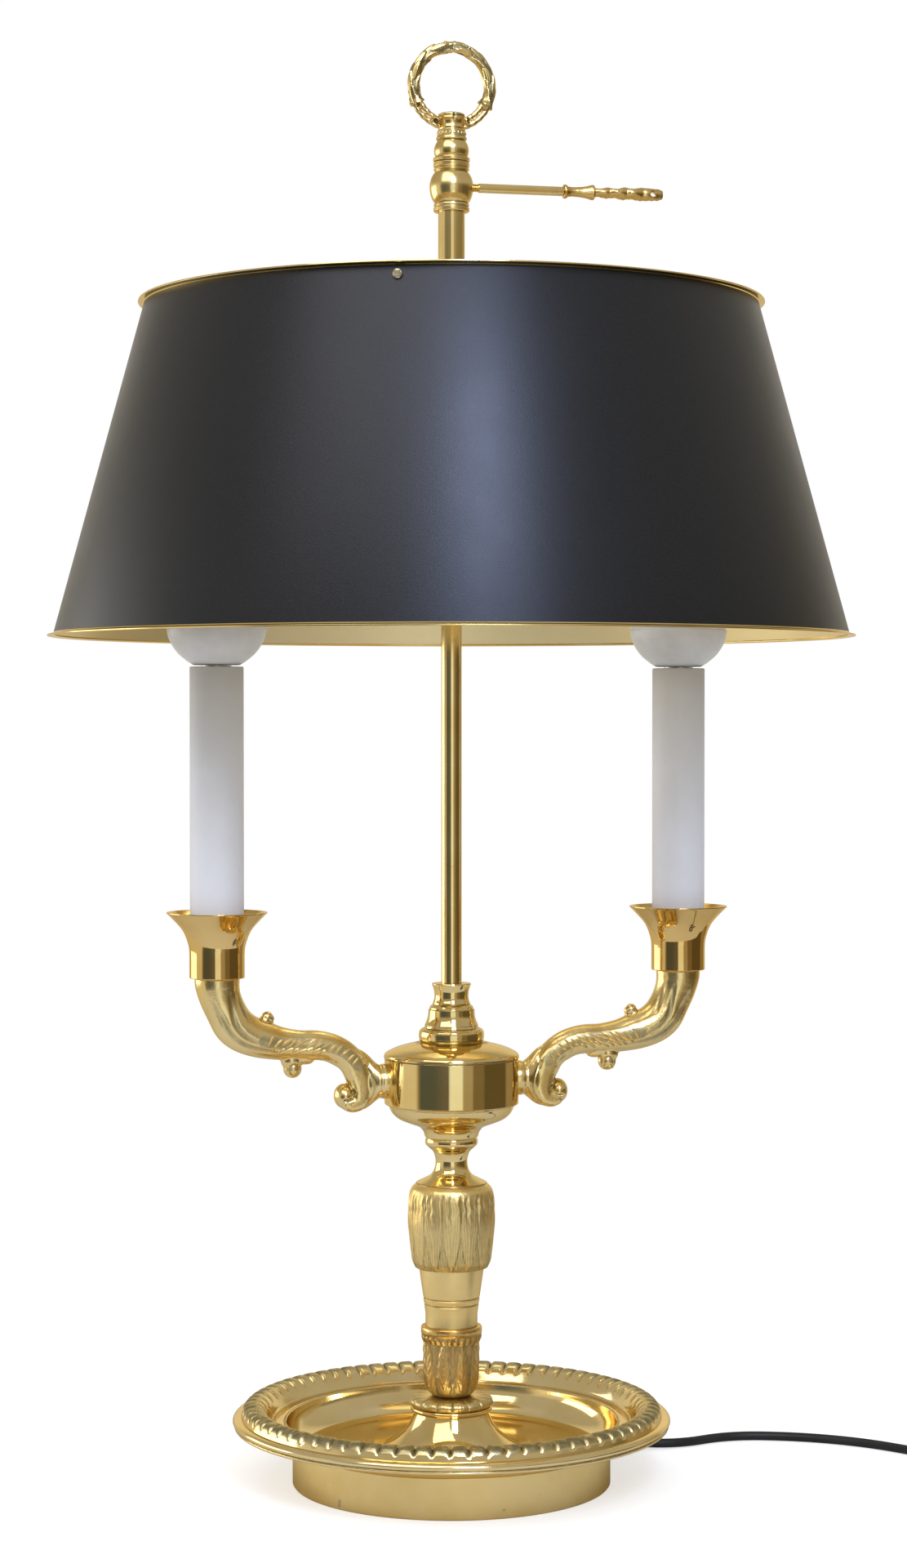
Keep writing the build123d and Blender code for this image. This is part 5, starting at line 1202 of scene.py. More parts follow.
def bump(work, middle, size, turn=0.0):
    """Rounded lump of cast metal, turned in the arm's plane."""
    made = bmesh.ops.create_icosphere(work, subdivisions=4, radius=1.0)
    about = Vector(middle) * MM
    for vertex in made["verts"]:
        x, y, z = vertex.co.x * size[0], vertex.co.y * size[1], vertex.co.z * size[2]
        turned_x, turned_z = x * math.cos(turn) - z * math.sin(turn), x * math.sin(turn) + z * math.cos(turn)
        vertex.co = about + Vector((turned_x, y, turned_z)) * MM


for (x, z), aside, above, size, turn in (
    (BALL_PLACE, 0.0, 0.0, (5.0, 6.9, 6.1), 0.0),
    (BUD_PLACE, 2.4, -3.0, (3.2, 3.6, 5.4), 0.30),
    (BUD_PLACE, 0.6, 0.9, (2.8, 3.0, 2.9), 0.0),
    (BUD_PLACE, -1.0, 0.2, (1.9, 2.6, 2.2), 0.0),
    (DROP_PLACE, 0.0, 0.0, (4.5, 4.6, 4.5), 0.0),
    (DROP_PLACE, 0.4, 4.2, (5.4, 5.0, 5.0), 0.0),
    (DROP_PLACE, -4.6, 5.0, (6.0, 4.4, 2.9), 0.2),
):
    bump(arm_work, (x + aside, 0, z + above), size, turn)
CASTING_GRAIN = 0.00045
rough_arm = bpy.data.meshes.new("rough_arm")
arm_work.to_mesh(rough_arm)
arm_work.free()
casting = bpy.data.objects.new("rough_arm", rough_arm)
bpy.context.scene.collection.objects.link(casting)
fused = casting.modifiers.new("one casting", "REMESH")
fused.mode = "VOXEL"
fused.voxel_size = CASTING_GRAIN
poured = bpy.data.meshes.new_from_object(casting.evaluated_get(bpy.context.evaluated_depsgraph_get()))
bpy.data.objects.remove(casting)

spine_x = np.array([place.x for place, _, _ in spine])
spine_z = np.array([place.z for place, _, _ in spine])


def place_on_arm(x, z):
    """Nearest station of the spine."""
    return int(np.argmin((spine_x - x) ** 2 + (spine_z - z) ** 2))


arm_metal = brass("arm_brass", 0.22, turning=0.0, cast=0.20, tarnish_and_shade=0.85)
VEIN_LINE = smooth_run([
    (94.5, 219.8), (88.0, 218.6), (82.8, 217.9), (74.5, 218.0), (66.1, 216.9), (57.8, 214.8), (51.7, 211.0),
    (47.6, 206.6),
], 10)
CREASES = [(wide, deep, smooth_run(line, 8)) for wide, deep, line in (
    # half width, depth and line: on the scroll's hub side, round the ball, and round the drop's eye
    (0.7, 0.6, [
        (44.0, 206.5), (42.4, 203.5), (40.9, 200.0), (40.0, 196.6), (40.2, 192.8), (41.6, 189.0),
        (44.2, 186.0),
    ]),
    (0.9, 1.2, [(52.9, 199.4), (51.4, 196.8), (50.1, 193.6), (50.8, 190.9), (52.4, 189.6), (54.4, 189.6)]),
    (0.8, 0.7, [(77.0, 203.6), (77.2, 206.8), (79.6, 207.4), (81.4, 205.4), (80.6, 203.0)]),
)]


def to_line(x, z, line):
    return min(math.hypot(x - point[0], z - point[1]) for point in line)


def carve(point, near):
    """What the chaser cut away at a point of the casting: how far in, and how dark it is painted there, with
    painted reflection in the flutes and painted shade in the creases.
    """
    place, thick, heading = spine[near]
    away = point - place
    turn = abs(math.atan2(-away.y, away.dot(Vector((-heading.z, 0, heading.x)))))
    # The flutes are painted dark: a painted reflection of the dark room.
    dark = flute(stretch[near], turn)
    if abs(point.y) < 2.0:
        return 0.0, dark
    if 46.0 < point.x < 97.0 and point.z > 204.0:
        dark = max(dark, held((3.2 - to_line(point.x, point.z, VEIN_LINE)) / 0.8))
    cut = 0.0
    if point.z < 210.0:
        for wide, deep, line in CREASES:
            cut = max(cut, deep * (1 - to_line(point.x, point.z, line) / wide))
        cut = max(cut, 2.2 * (1 - math.hypot(point.x - CURL_PLACE[0], point.z - CURL_PLACE[1]) / 1.6))
        # The creases and the eye of the curl are painted dark: painted shade.
        dark = max(dark, min(1.0, cut * 1.3))
    return cut, dark


work = bmesh.new()
work.from_mesh(poured)
for _ in range(3):
    bmesh.ops.smooth_vert(
        work, verts=work.verts, factor=0.5, use_axis_x=True, use_axis_y=True, use_axis_z=True,
    )
mark = work.verts.layers.float.new("recess")
for vertex in work.verts:
    point = vertex.co / MM
    cut, vertex[mark] = carve(point, place_on_arm(point.x, point.z))
    vertex.co.y -= math.copysign(cut, point.y) * MM
for side, name in ((1, "arm_casting_right"), (-1, "arm_casting_left")):
    copy = work.copy()
    if side < 0:
        for vertex in copy.verts:
            vertex.co.x = -vertex.co.x
    mesh = finish_mesh(name, copy, arm_metal, sharp=60, join=1e-7)
    piece(name, mesh, "lamp", "polished_brass", "arm_right" if side > 0 else "arm_left")
work.free()

stamp_tree, given, result = node_tree_for("stamped_details", [
    ("Places", "NodeSocketGeometry"), ("Stamp", "NodeSocketObject"), ("Finish", "NodeSocketMaterial"),
])
stamp = put(stamp_tree, "GeometryNodeObjectInfo", {"Object": given.outputs["Stamp"]})
turn = put(stamp_tree, "GeometryNodeInputNamedAttribute", {"Name": "turn"}, data_type="FLOAT_VECTOR")
size = put(stamp_tree, "GeometryNodeInputNamedAttribute", {"Name": "size"}, data_type="FLOAT_VECTOR")
facing = put(stamp_tree, "FunctionNodeEulerToRotation", {"Euler": turn.outputs["Attribute"]})
copies = put(stamp_tree, "GeometryNodeInstanceOnPoints", {
    "Points": given.outputs["Places"], "Instance": stamp.outputs["Geometry"], "Rotation": facing.outputs[0],
    "Scale": size.outputs["Attribute"],
})
solid = put(stamp_tree, "GeometryNodeRealizeInstances", {"Geometry": copies.outputs[0]})
finished = put(
    stamp_tree, "GeometryNodeSetMaterial",
    {"Geometry": solid.outputs[0], "Material": given.outputs["Finish"]},
)
stamp_tree.links.new(finished.outputs[0], result.inputs[0])


def stamped(name, stamp_mesh, places, material):
    """Copies of a small shape. A place is (point, way along, way out, size in mm): x runs along, z out."""
    points = bpy.data.meshes.new(name + "_places")
    points.from_pydata([tuple(Vector(point) * MM) for point, _, _, _ in places], [], [])
    turns, sizes = [], []
    for _, along, out, scale in places:
        along, out = Vector(along).normalized(), Vector(out).normalized()
        across = out.cross(along).normalized()
        along = across.cross(out)
        matrix = np.array([along, across, out]).T
        turns += list(Matrix(matrix.tolist()).to_euler())
        sizes += [value * MM for value in scale]
    points.attributes.new("turn", "FLOAT_VECTOR", "POINT").data.foreach_set("vector", turns)
    points.attributes.new("size", "FLOAT_VECTOR", "POINT").data.foreach_set("vector", sizes)
    pattern = bpy.data.objects.new(name + "_stamp", stamp_mesh)
    bpy.context.scene.collection.objects.link(pattern)
    made = grow(name, points, stamp_tree, {"Stamp": pattern, "Finish": material}, 50.0)
    bpy.data.objects.remove(pattern)
    return made


def lozenge(name, length_steps, sides, pinch):
    """Unit shape, one long, one wide and one high: a rounded bar with pointed ends."""
    rings = []
    for k in range(1, length_steps):
        share = k / length_steps
        girth = math.sin(math.pi * share) ** pinch
        ring = []
        for n in range(sides):
            turn = 2 * math.pi * n / sides
            across, up = 0.5 * girth * math.cos(turn), 0.5 * girth * math.sin(turn)
            ring.append(Vector((share - 0.5, across, up)) / MM)
        rings.append(ring)
    work = bmesh.new()
    skin_over(rings, work, caps=False)
    work.verts.ensure_lookup_table()
    for first, tip in ((0, -0.5), (len(rings) - 1, 0.5)):
        point = work.verts.new(Vector((tip, 0, 0)))
        loop = work.verts[first * sides:(first + 1) * sides]
        for n in range(sides):
            work.faces.new((loop[n], loop[(n + 1) % sides], point))
        work.verts.ensure_lookup_table()
    return finish_mesh(name, work, sharp=60)


def on_arm(x, z, front):
    """Point on the arm's near (1) or far (-1) face and the direction out of it there."""
    place, thick, heading = spine[place_on_arm(x, z)]
    hollow = side_of(heading, 0)
    off = max(-0.95, min(0.95, (Vector((x, 0, z)) - place).dot(hollow) / thick))
    depth = math.sqrt(1 - off * off)
    return Vector((x, -front * thick * depth, z)), hollow * off + Vector((0, -front * depth, 0))


vein = lozenge("vein", 7, 4, 0.4)
vein_places = []
VEIN_PITCH = 3.2
VEIN_SLOPE = ([47, 52, 60, 66, 72, 84, 90, 95], [42, 40, 38, 33, 29, 33, 48, 56])
VEIN_LENGTH = ([47, 52, 60, 66, 72, 84, 90, 95], [4.6, 5.8, 6.4, 7.4, 9.4, 9.0, 7.0, 5.4])
gone, number = 0.0, 0
for (x, z), (next_x, next_z) in zip(VEIN_LINE, VEIN_LINE[1:]):
    gone += math.hypot(next_x - x, next_z - z)
    if gone < VEIN_PITCH:
        continue
    gone, number = 0.0, number + 1
    slope = math.radians(float(np.interp(x, *VEIN_SLOPE)) + 6 * math.sin(number * 1.9))
    long = float(np.interp(x, *VEIN_LENGTH)) * (1 + 0.12 * math.sin(number * 2.9))
    for front in (1, -1):
        for drop, share in ((0.0, 1.0), (-3.4, 0.6)):
            if drop and not 66.0 < x < 92.0:
                continue
            point, out = on_arm(x + 0.6 * drop, z + drop + 0.4 * math.sin(number * 2.3), front)
            along = Vector((-math.cos(slope), 0, math.sin(slope)))
            vein_places.append((point - out * 0.1, along, out, (long * share, 1.5, 1.2)))
# The strokes get a paler, rougher brass than the arm: a painted highlight that keeps them bright.
vein_metal = brass("vein_brass", 0.34, turning=0.0, tones=PALE_BRASS)
for x, z, way, long in (  # single strokes on the ball and on the drop
    (52.6, 193.6, 2.2, 2.6), (54.6, 191.4, 3.0, 2.8), (50.6, 187.2, 2.6, 2.4), (79.6, 204.6, 1.0, 3.4),
    (80.4, 202.2, 0.2, 2.6),
):
    for front in (1, -1):
        deep = 5.9 if x < 60 else 3.6
        along, out = Vector((math.cos(way), 0, math.sin(way))), Vector((0.1, -front, 0.25))
        vein_places.append((Vector((x, -front * deep, z)), along, out, (long, 1.2, 1.4)))
for mirrored, name in ((1, "leaf_veins_right"), (-1, "leaf_veins_left")):
    flip = Vector((mirrored, 1, 1))
    places = [
        (point * flip, along * flip, out * flip + Vector((-0.2, 0, 0)), size)
        for point, along, out, size in vein_places
    ]
    piece(name, stamped(name, vein, places, vein_metal), "lamp", "polished_brass")

for node, finish in {"arm_nipples": zinc, "arm_wires": sheath, "holder_stems": zinc}.items():
    dress(node, finish)

# --- candle cups ----------------------------------------------------------------------------------
# Spun trumpet cups, polished inside and out, screwed down on the arms by the lampholders' stems.
CUP_Z = 250.0
cup_section = section(
    (BORE, CUP_Z), (13.1, CUP_Z), (13.3, 250.3), (13.3, 261.0),
    [
        (13.6, 264.9), (14.7, 268.8), (15.5, 270.8), (16.5, 272.8), (17.9, 274.7), (19.7, 276.7),
        (21.8, 278.9), (23.6, 280.7),
    ], (24.3, 281.3), (24.3, 281.8), (23.1, 281.8),
    [(21.2, 280.2), (19.0, 277.9), (17.0, 275.6), (15.4, 273.0), (14.2, 270.8), (13.3, 269.0)],
    (13.3, 267.5), (11.6, 267.5), (11.6, 253.0), (BORE, 253.0), edge=0.2,
)
for side, end in ((1, "right"), (-1, "left")):
    cup_metal = brass("cup_brass_" + end, 0.075, axis_x=side * ARM_REACH, turning=0.03, tones=RED_BRASS)
    turned(
        "cup_" + end, cup_section, cup_metal, "polished_brass", "candle_cup_" + end,
        centre_x=side * ARM_REACH,
    )

# --- lampholders and candle sleeves ---------------------------------------------------------------
# A black moulded holder with a brass shell, on a threaded stem in each arm, hidden by a white card sleeve
# that stands in the cup.
holder_black = moulding("holder_black", tint(30, 29, 28), 0.5)
for end in ("right", "left"):
    dress("lampholder_" + end, holder_black)
dress("holder_shells", bright_brass)
dress("holder_contacts", bright_brass)
SLEEVE_RADIUS, SLEEVE_FOOT, SLEEVE_TOP = 13.0, 267.5, 400.0
card, tree, spot = new_finish("white_card")
height = put(tree, "ShaderNodeSeparateXYZ", {"Vector": spot}).outputs["Z"]
above_foot = reckon(tree, "SUBTRACT", height, SLEEVE_FOOT * MM)
up = reckon(tree, "DIVIDE", above_foot, (SLEEVE_TOP - SLEEVE_FOOT) * MM, clamp=True)
fibres = noise(tree, spot, 900.0, 4.0, 0.7)
smudge = noise(tree, spot, 22.0, 5.0, 0.7)
# Darker towards the top: painted shadow of the lampshade over the sleeve.
white = ramp(tree, up, [
    (0.0, (0.78, 0.79, 0.84, 1)), (0.62, (0.76, 0.77, 0.80, 1)), (0.9, (0.62, 0.61, 0.59, 1)),
    (1.0, (0.52, 0.50, 0.46, 1)),
])
dusty = reckon(tree, "MULTIPLY", ramp(tree, smudge, [(0.45, grey(0)), (0.8, grey(1))]), 0.22)
skin = blend_colours(tree, dusty, white, (0.58, 0.56, 0.50, 1))
nap = bumped(tree, fibres, 0.08, 0.0003)
surface(tree, {"Base Color": skin, "Roughness": 0.55, "Normal": nap, "Specular IOR Level": 0.35})
sleeve_section = section(
    (12.0, SLEEVE_FOOT), (12.7, SLEEVE_FOOT), (SLEEVE_RADIUS, SLEEVE_FOOT + 0.4), (SLEEVE_RADIUS, 330.0),
    (SLEEVE_RADIUS, SLEEVE_TOP - 0.5), (12.7, SLEEVE_TOP), (12.2, SLEEVE_TOP), (12.0, SLEEVE_TOP - 0.4),
    edge=0.15,
)
for side, end in ((1, "right"), (-1, "left")):
    turned(
        "sleeve_" + end, sleeve_section, card, "white_sleeve", "candle_sleeve_" + end,
        sides=96, centre_x=side * ARM_REACH,
    )

# --- bulbs ----------------------------------------------------------------------------------------
# Compact fluorescent lamps: a bare white housing, a threaded cap, and three folded tubes of milky glass.
HOUSING_FOOT, HOUSING_TOP = 400.8, 432.8
housing_white = moulding("housing_white", tint(226, 226, 224), 0.30, gloss=0.5)
housing_section = section(
    (0.0, HOUSING_FOOT), (11.0, HOUSING_FOOT),
    [(11.9, 401.2), (14.6, 403.0), (18.4, 406.2), (21.4, 410.2), (23.2, 414.0), (23.8, 416.4)],
    (24.0, 417.8), (24.0, 418.8), (23.6, 419.1), (23.6, 419.7), (24.0, 420.0), (24.0, 430.6),
    [(23.6, 431.8), (22.6, 432.6), (21.4, HOUSING_TOP)], (0.0, HOUSING_TOP), edge=0.3,
)
THREAD_PITCH = 2.8
cap_points = [(0.0, 378.3), (1.6, 378.3), (2.4, 378.8), (2.4, 380.8), (4.0, 381.0), (5.4, 381.8)]
for turn_step in range(5):
    foot = 382.6 + turn_step * THREAD_PITCH
    cap_points += [(6.2, foot), (6.9, foot + 0.5), (7.2, foot + 1.2), (6.9, foot + 1.9), (6.2, foot + 2.4)]
cap_points += [(6.4, 397.4), (7.2, 398.2), (7.2, 400.5), (0.0, 400.5)]
cap_metal = plain_metal("cap_nickel", (0.58, 0.56, 0.52, 1), (0.72, 0.70, 0.66, 1), 0.24, 200.0)
glass, tree, spot = new_finish("milk_glass")
powder = noise(tree, spot, 160.0, 4.0)
milk = ramp(tree, powder, [(0.3, (0.80, 0.80, 0.76, 1)), (0.7, (0.88, 0.88, 0.85, 1))])
surface(tree, {"Base Color": milk, "Roughness": 0.16, "Coat Weight": 0.6, "Coat Roughness": 0.04})
TUBE_RADIUS, LEG_CIRCLE, GLASS_TOP = 4.8, 15.0, 499.8
for side, end in ((1, "right"), (-1, "left")):
    centre_x = side * ARM_REACH
    turned(
        "housing_" + end, housing_section, housing_white, "white_housing", "bulb_housing_" + end,
        body="bulb_" + end, sides=96, centre_x=centre_x,
    )
    turned(
        "screw_cap_" + end, cap_points, cap_metal, "cap_metal", "bulb_cap_" + end,
        body="bulb_rise_" + end, sides=64, centre_x=centre_x,
    )
    folds = bmesh.new()
    for fold in range(3):
        first, last = math.radians(120 * fold), math.radians(120 * fold + 60)
        near = Vector((centre_x + side * LEG_CIRCLE * math.cos(first), LEG_CIRCLE * math.sin(first), 0))
        far = Vector((centre_x + side * LEG_CIRCLE * math.cos(last), LEG_CIRCLE * math.sin(last), 0))
        half_gap, middle = (far - near) / 2, (near + far) / 2
        arch = half_gap.length * 0.98
        crown = GLASS_TOP - TUBE_RADIUS - arch
        leg = crown - HOUSING_TOP + 1.0
        path = [near + UP * (HOUSING_TOP - 1.0 + leg * k / 8) for k in range(8)]
        for k in range(17):
            turn = math.pi * k / 16
            path.append(middle - half_gap * math.cos(turn) + UP * (crown + arch * math.sin(turn)))
        path += [far + UP * (crown - leg * k / 8) for k in range(1, 9)]
        rings = []
        for k, point in enumerate(path):
            heading = (path[min(k + 1, len(path) - 1)] - path[max(k - 1, 0)]).normalized()
            level = UP.cross(half_gap).normalized()
            inward = heading.cross(level)
            turns = [2 * math.pi * n / 24 for n in range(24)]
            rings.append([
                point + (level * math.cos(turn) + inward * math.sin(turn)) * TUBE_RADIUS for turn in turns
            ])
        skin_over(rings, folds)
    formed("glass_folds_" + end, folds, glass, "bulb_" + end, "milk_glass", "bulb_tubes_" + end, sharp=50)

# --- shade carriage -------------------------------------------------------------------------------
# A brass tube slides on the rod with a ball collar at its top. The spider's three arms hold the shade by
# slotted screws.
tube_section = section((BORE, 563.2), (6.5, 563.2), (6.5, 646.2), (BORE, 646.2), edge=0.15)
tube_metal = brass("tube_brass", 0.10, turning=0.0, specks=0.1)
turned(
    "carriage_tube", tube_section, tube_metal, "polished_brass", "sleeve_tube", body="lift_tube", sides=72,
)
collar_section = section(
    (6.55, 622.1), (8.4, 622.1), (8.8, 622.5), (8.8, 624.0), (8.3, 624.4), (8.3, 624.9), (8.7, 625.2),
    (8.6, 625.9), (8.0, 626.3),
    [(9.2, 627.8), (10.2, 630.4), (10.7, 633.6), (10.6, 636.0), (9.9, 638.6), (8.8, 640.6), (8.0, 641.5)],
    (8.1, 642.0), (8.7, 642.3), (8.7, 643.0), (8.2, 643.3), (8.2, 643.7), (8.8, 644.1), (8.8, 645.8),
    (8.5, 646.2), (6.55, 646.2), edge=0.15,
)
rubbed = brass("rubbed_brass", 0.20, turning=0.04, cast=0.02)
turned(
    "ball_of_collar", collar_section, rubbed, "polished_brass", "collar_ball",
    body="shade_carrier", sides=128, creases=(624.6, 626.3, 641.6, 643.5),
)
SPIDER_Z, SPIDER_BEARINGS = 571.2, (8.0, 128.0, 248.0)
spider_middle = UP * SPIDER_Z
spider_work = bmesh.new()
HUB_SECTION = [
    (-6.0, 6.55), (-6.0, 9.5), (-5.5, 10.0), (-1.5, 10.0), (-1.2, 9.7), (1.2, 9.7), (1.5, 10.0),
    (5.5, 10.0), (6.0, 9.5), (6.0, 6.55),
]
SPIDER_ARM = [
    (9.0, 0.1), (9.0, 3.2), (10.6, 3.2), (11.4, 2.5), (146.4, 2.5), (147.6, 2.5), (149.4, 2.5),
    (149.4, 0.1),
]
SCREW_SEAT = 149.5 + (4.8 + 2.3) * 44.0 / 160.0  # the shade widens by 44 over its height of 160
SCREW_HEAD = [(-7.0, 0.1), (-7.0, 1.4), (0.0, 1.5), (0.0, 2.25), (0.35, 2.3), (0.8, 2.1), (1.15, 1.5)]
SLOT_HALF, SLOT_LIP, LIP_REACH = 0.32, 1.15, 1.9
skin_over(ring_lathe(HUB_SECTION, spider_middle, UP, 64), spider_work, close_run=True)
screws = bmesh.new()
for bearing in SPIDER_BEARINGS:
    turn = math.radians(bearing)
    out, across = Vector((math.cos(turn), math.sin(turn), 0)), Vector((-math.sin(turn), math.cos(turn), 0))
    skin_over(ring_lathe(SPIDER_ARM, spider_middle, out, 24), spider_work)
    skin_over(ring_lathe(SCREW_HEAD, spider_middle + out * SCREW_SEAT, out, 32), screws)
    for lip in (-1, 1):
        rings = []
        for step_along, inset in ((0.95, 0.0), (1.30, 0.25)):
            half_chord = math.sqrt((LIP_REACH - inset) ** 2 - 0.1) * 0.8
            on_axis = spider_middle + out * (SCREW_SEAT + step_along)
            rings.append([
                on_axis + across * u * half_chord + UP * lip * (SLOT_HALF + v * (SLOT_LIP - inset))
                for u, v in ((-1, 0), (1, 0), (1, 1), (-1, 1))
            ])
        skin_over(rings, screws)
formed("spider", spider_work, satin, "shade_carrier", "satin_brass", "shade_spider")
screw_metal = plain_metal("screw_brass", (0.52, 0.46, 0.34, 1), (0.72, 0.64, 0.46, 1), 0.3, 260.0)
formed("shade_screws", screws, screw_metal, "shade_carrier", "satin_brass", "spider_screws", sharp=30)

# --- shade ----------------------------------------------------------------------------------------
# A cone of sheet metal, satin black lacquer outside and pale gold inside, with bright brass edges turned
# out at its top and foot.
SHADE_TOP, SHADE_FOOT, SHADE_WALL, SHADE_SIDES = 576.0, 416.0, 0.7, 216
SHADE_TOP_RADIUS, SHADE_FOOT_RADIUS = 149.5, 193.5
BELLY_HEIGHT, BELLY_CURVE = 0.487, -0.62  # the rolled cone bellies slightly, shown in its gloss only
lacquer, tree, spot = new_finish("black_lacquer")
grain = noise(tree, spot, 1500.0, 3.0, 0.6)
cloud = noise(tree, spot, 14.0, 5.0, 0.6)
sprayed = ramp(tree, grain, [(0.3, tint(11, 11, 11)), (0.7, tint(27, 27, 27))])
rough = ramp(tree, cloud, [(0.3, grey(0.34)), (0.7, grey(0.40))])
height = put(tree, "ShaderNodeSeparateXYZ", {"Vector": spot}).outputs["Z"]
from_belly = reckon(tree, "SUBTRACT", height, BELLY_HEIGHT)
barrel = reckon(tree, "MULTIPLY", reckon(tree, "MULTIPLY", from_belly, from_belly), BELLY_CURVE)
rolled = bumped(tree, barrel, 1.0, 1.0)
speckle = bumped(tree, grain, 0.16, 0.0003, rolled)
surface(tree, {
    "Base Color": sprayed, "Roughness": rough, "Normal": speckle, "Specular IOR Level": 0.5,
    "Specular Tint": (0.78, 0.82, 1.0, 1),
})
lining, tree, spot = new_finish("gold_lining")
grain = noise(tree, spot, 700.0, 3.0)
cloud = noise(tree, spot, 10.0, 4.0)
gold = ramp(tree, cloud, [(0.3, (0.80, 0.66, 0.34, 1)), (0.7, (0.88, 0.75, 0.44, 1))])
speckle = bumped(tree, grain, 0.08, 0.0003)
surface(tree, {"Base Color": gold, "Metallic": 0.75, "Roughness": 0.36, "Normal": speckle})
shade_wall = []
for share in (0.0, 0.25, 0.5, 0.75, 1.0):
    radius = SHADE_FOOT_RADIUS + (SHADE_TOP_RADIUS - SHADE_FOOT_RADIUS) * share
    shade_wall.append((radius, SHADE_FOOT + (SHADE_TOP - SHADE_FOOT) * share))
shade_wall += [(r - SHADE_WALL, z) for r, z in shade_wall[::-1]]
shade_work = skin_over(rings_round(shade_wall, SHADE_SIDES), close_run=True)
shade_mesh = finish_mesh("shade_cone", shade_work, lacquer, lining)
for face in shade_mesh.polygons:
    outward = face.normal.x * face.center.x + face.normal.y * face.center.y
    face.material_index = 1 if outward < 0 else 0
piece("shade_cone", shade_mesh, "shade_carrier", "black_lacquer", "shade_panel")
lips = bmesh.new()
for radius, edge_z, way in ((SHADE_TOP_RADIUS, SHADE_TOP, 1), (SHADE_FOOT_RADIUS, SHADE_FOOT, -1)):
    lip_section = section(
        (radius - 0.72, edge_z - way * 0.6), (radius + 0.05, edge_z - way * 0.6),
        (radius + 0.6, edge_z - way * 0.1), (radius + 2.7, edge_z + way * 0.35),
        (radius + 3.0, edge_z + way * 0.6), (radius + 2.9, edge_z + way * 1.1),
        (radius + 2.4, edge_z + way * 1.2), (radius + 0.4, edge_z + way * 0.75),
        (radius - 0.72, edge_z + way * 0.7), edge=0.12,
    )
    skin_over(rings_round(lip_section, SHADE_SIDES), lips, close_run=True)
lip_metal = brass("lip_brass", 0.14, turning=0.03)
formed("shade_edges", lips, lip_metal, "shade_carrier", "polished_brass", "shade_lips", join=1e-7)

# --- key ------------------------------------------------------------------------------------------
# The clamping screw: a thin dark thread, a plain shaft, and a cast handle of a collar, a flared bell and a
# scalloped leaf with a hole near its end.
KEY_Z = 634.3
key_middle, key_way = UP * KEY_Z, Vector((1, 0, 0))
THREAD_STEPS = [(6.85, 0.1), (6.85, 1.7)]
for turn_step in range(8):
    foot = 7.0 + turn_step * 0.8
    THREAD_STEPS += [(foot + 0.2, 2.0), (foot + 0.6, 1.65)]
THREAD_STEPS += [
    (13.4, 1.7), (13.4, 2.0), (13.8, 2.25), (56.2, 2.25), (56.5, 2.0), (56.5, 1.3), (64.3, 1.3),
    (64.5, 1.0), (64.5, 0.1),
]
shaft_work = skin_over(ring_lathe(THREAD_STEPS, key_middle, key_way, 40))
formed("clamp_shaft", shaft_work, rod_metal, "key_screw", "polished_brass", "key_shaft", sharp=28)
handle_work = bmesh.new()
BELL_STEPS = [
    (56.56, 1.36), (56.56, 3.1), (56.8, 3.4), (57.9, 3.4), (58.3, 3.0), (58.8, 2.55), (60.5, 2.3),
    (63.0, 2.35), (66.0, 2.6), (68.4, 3.0), (70.4, 3.55), (71.2, 3.75), (71.9, 3.6), (72.2, 3.0),
    (72.2, 2.0), (72.2, 0.4), (64.9, 0.4), (64.9, 1.36),
]
skin_over(ring_lathe(BELL_STEPS, key_middle, key_way, 40), handle_work, close_run=True)
LEAF_FIRST, LEAF_LAST = 71.6, 107.0
LEAF_STEPS, LEAF_COLUMNS = 72, 20
LEAF_BUMPS = (
    (0.02, 1.9), (0.10, 1.7), (0.20, 2.5), (0.28, 2.0), (0.34, 1.8), (0.44, 2.9), (0.52, 2.3), (0.57, 2.2),
    (0.68, 3.0), (0.80, 2.8), (1.0, 2.5),
)
leaf_grid = {}
for i in range(LEAF_STEPS + 1):
    share = i / LEAF_STEPS
    x = LEAF_FIRST + (LEAF_LAST - LEAF_FIRST) * share
    thick = float(np.interp(share, *zip(*LEAF_BUMPS)))
    lobe = abs(math.sin(math.pi * (share * 4.2 + 0.1)))
    half_width = (2.2 + 4.2 * math.sin(math.pi * min(1.0, share * 0.9 + 0.1)) ** 0.9) * (0.80 + 0.20 * lobe)
    end = min(1.0, (1.0 - share) / 0.05)
    for j in range(LEAF_COLUMNS + 1):
        across = -1 + 2 * j / LEAF_COLUMNS
        crease = 0.3 * math.cos(2 * math.pi * (share * 12 - abs(across) * 1.3))
        dome = max(0.0, 1 - abs(across) ** 3) ** 0.5
        high = (thick + crease * (1 - abs(across))) * dome * (0.8 + 0.2 * end)
        for face in (1, -1):
            if face < 0 and j in (0, LEAF_COLUMNS):
                leaf_grid[i, j, face] = leaf_grid[i, j, 1]
                continue
            point = Vector((x, across * half_width, KEY_Z + face * high)) * MM
            leaf_grid[i, j, face] = handle_work.verts.new(point)
for i in range(LEAF_STEPS):
    for j in range(LEAF_COLUMNS):
        for face in (1, -1):
            corners = [leaf_grid[i + a, j + b, face] for a, b in ((0, 0), (1, 0), (1, 1), (0, 1))]
            handle_work.faces.new(corners)
for end_row in (0, LEAF_STEPS):
    for j in range(LEAF_COLUMNS):
        corners = [leaf_grid[end_row, j + b, face] for b, face in ((0, 1), (1, 1), (1, -1), (0, -1))]
        corners = list(dict.fromkeys(corners))
        if len(corners) > 2:
            handle_work.faces.new(corners)
handle = bpy.data.objects.new("handle", finish_mesh("handle", handle_work, leaf_metal, sharp=60))
drill_work = bmesh.new()
drill_way = Vector((0.20, 1.0, 0.0)).normalized()
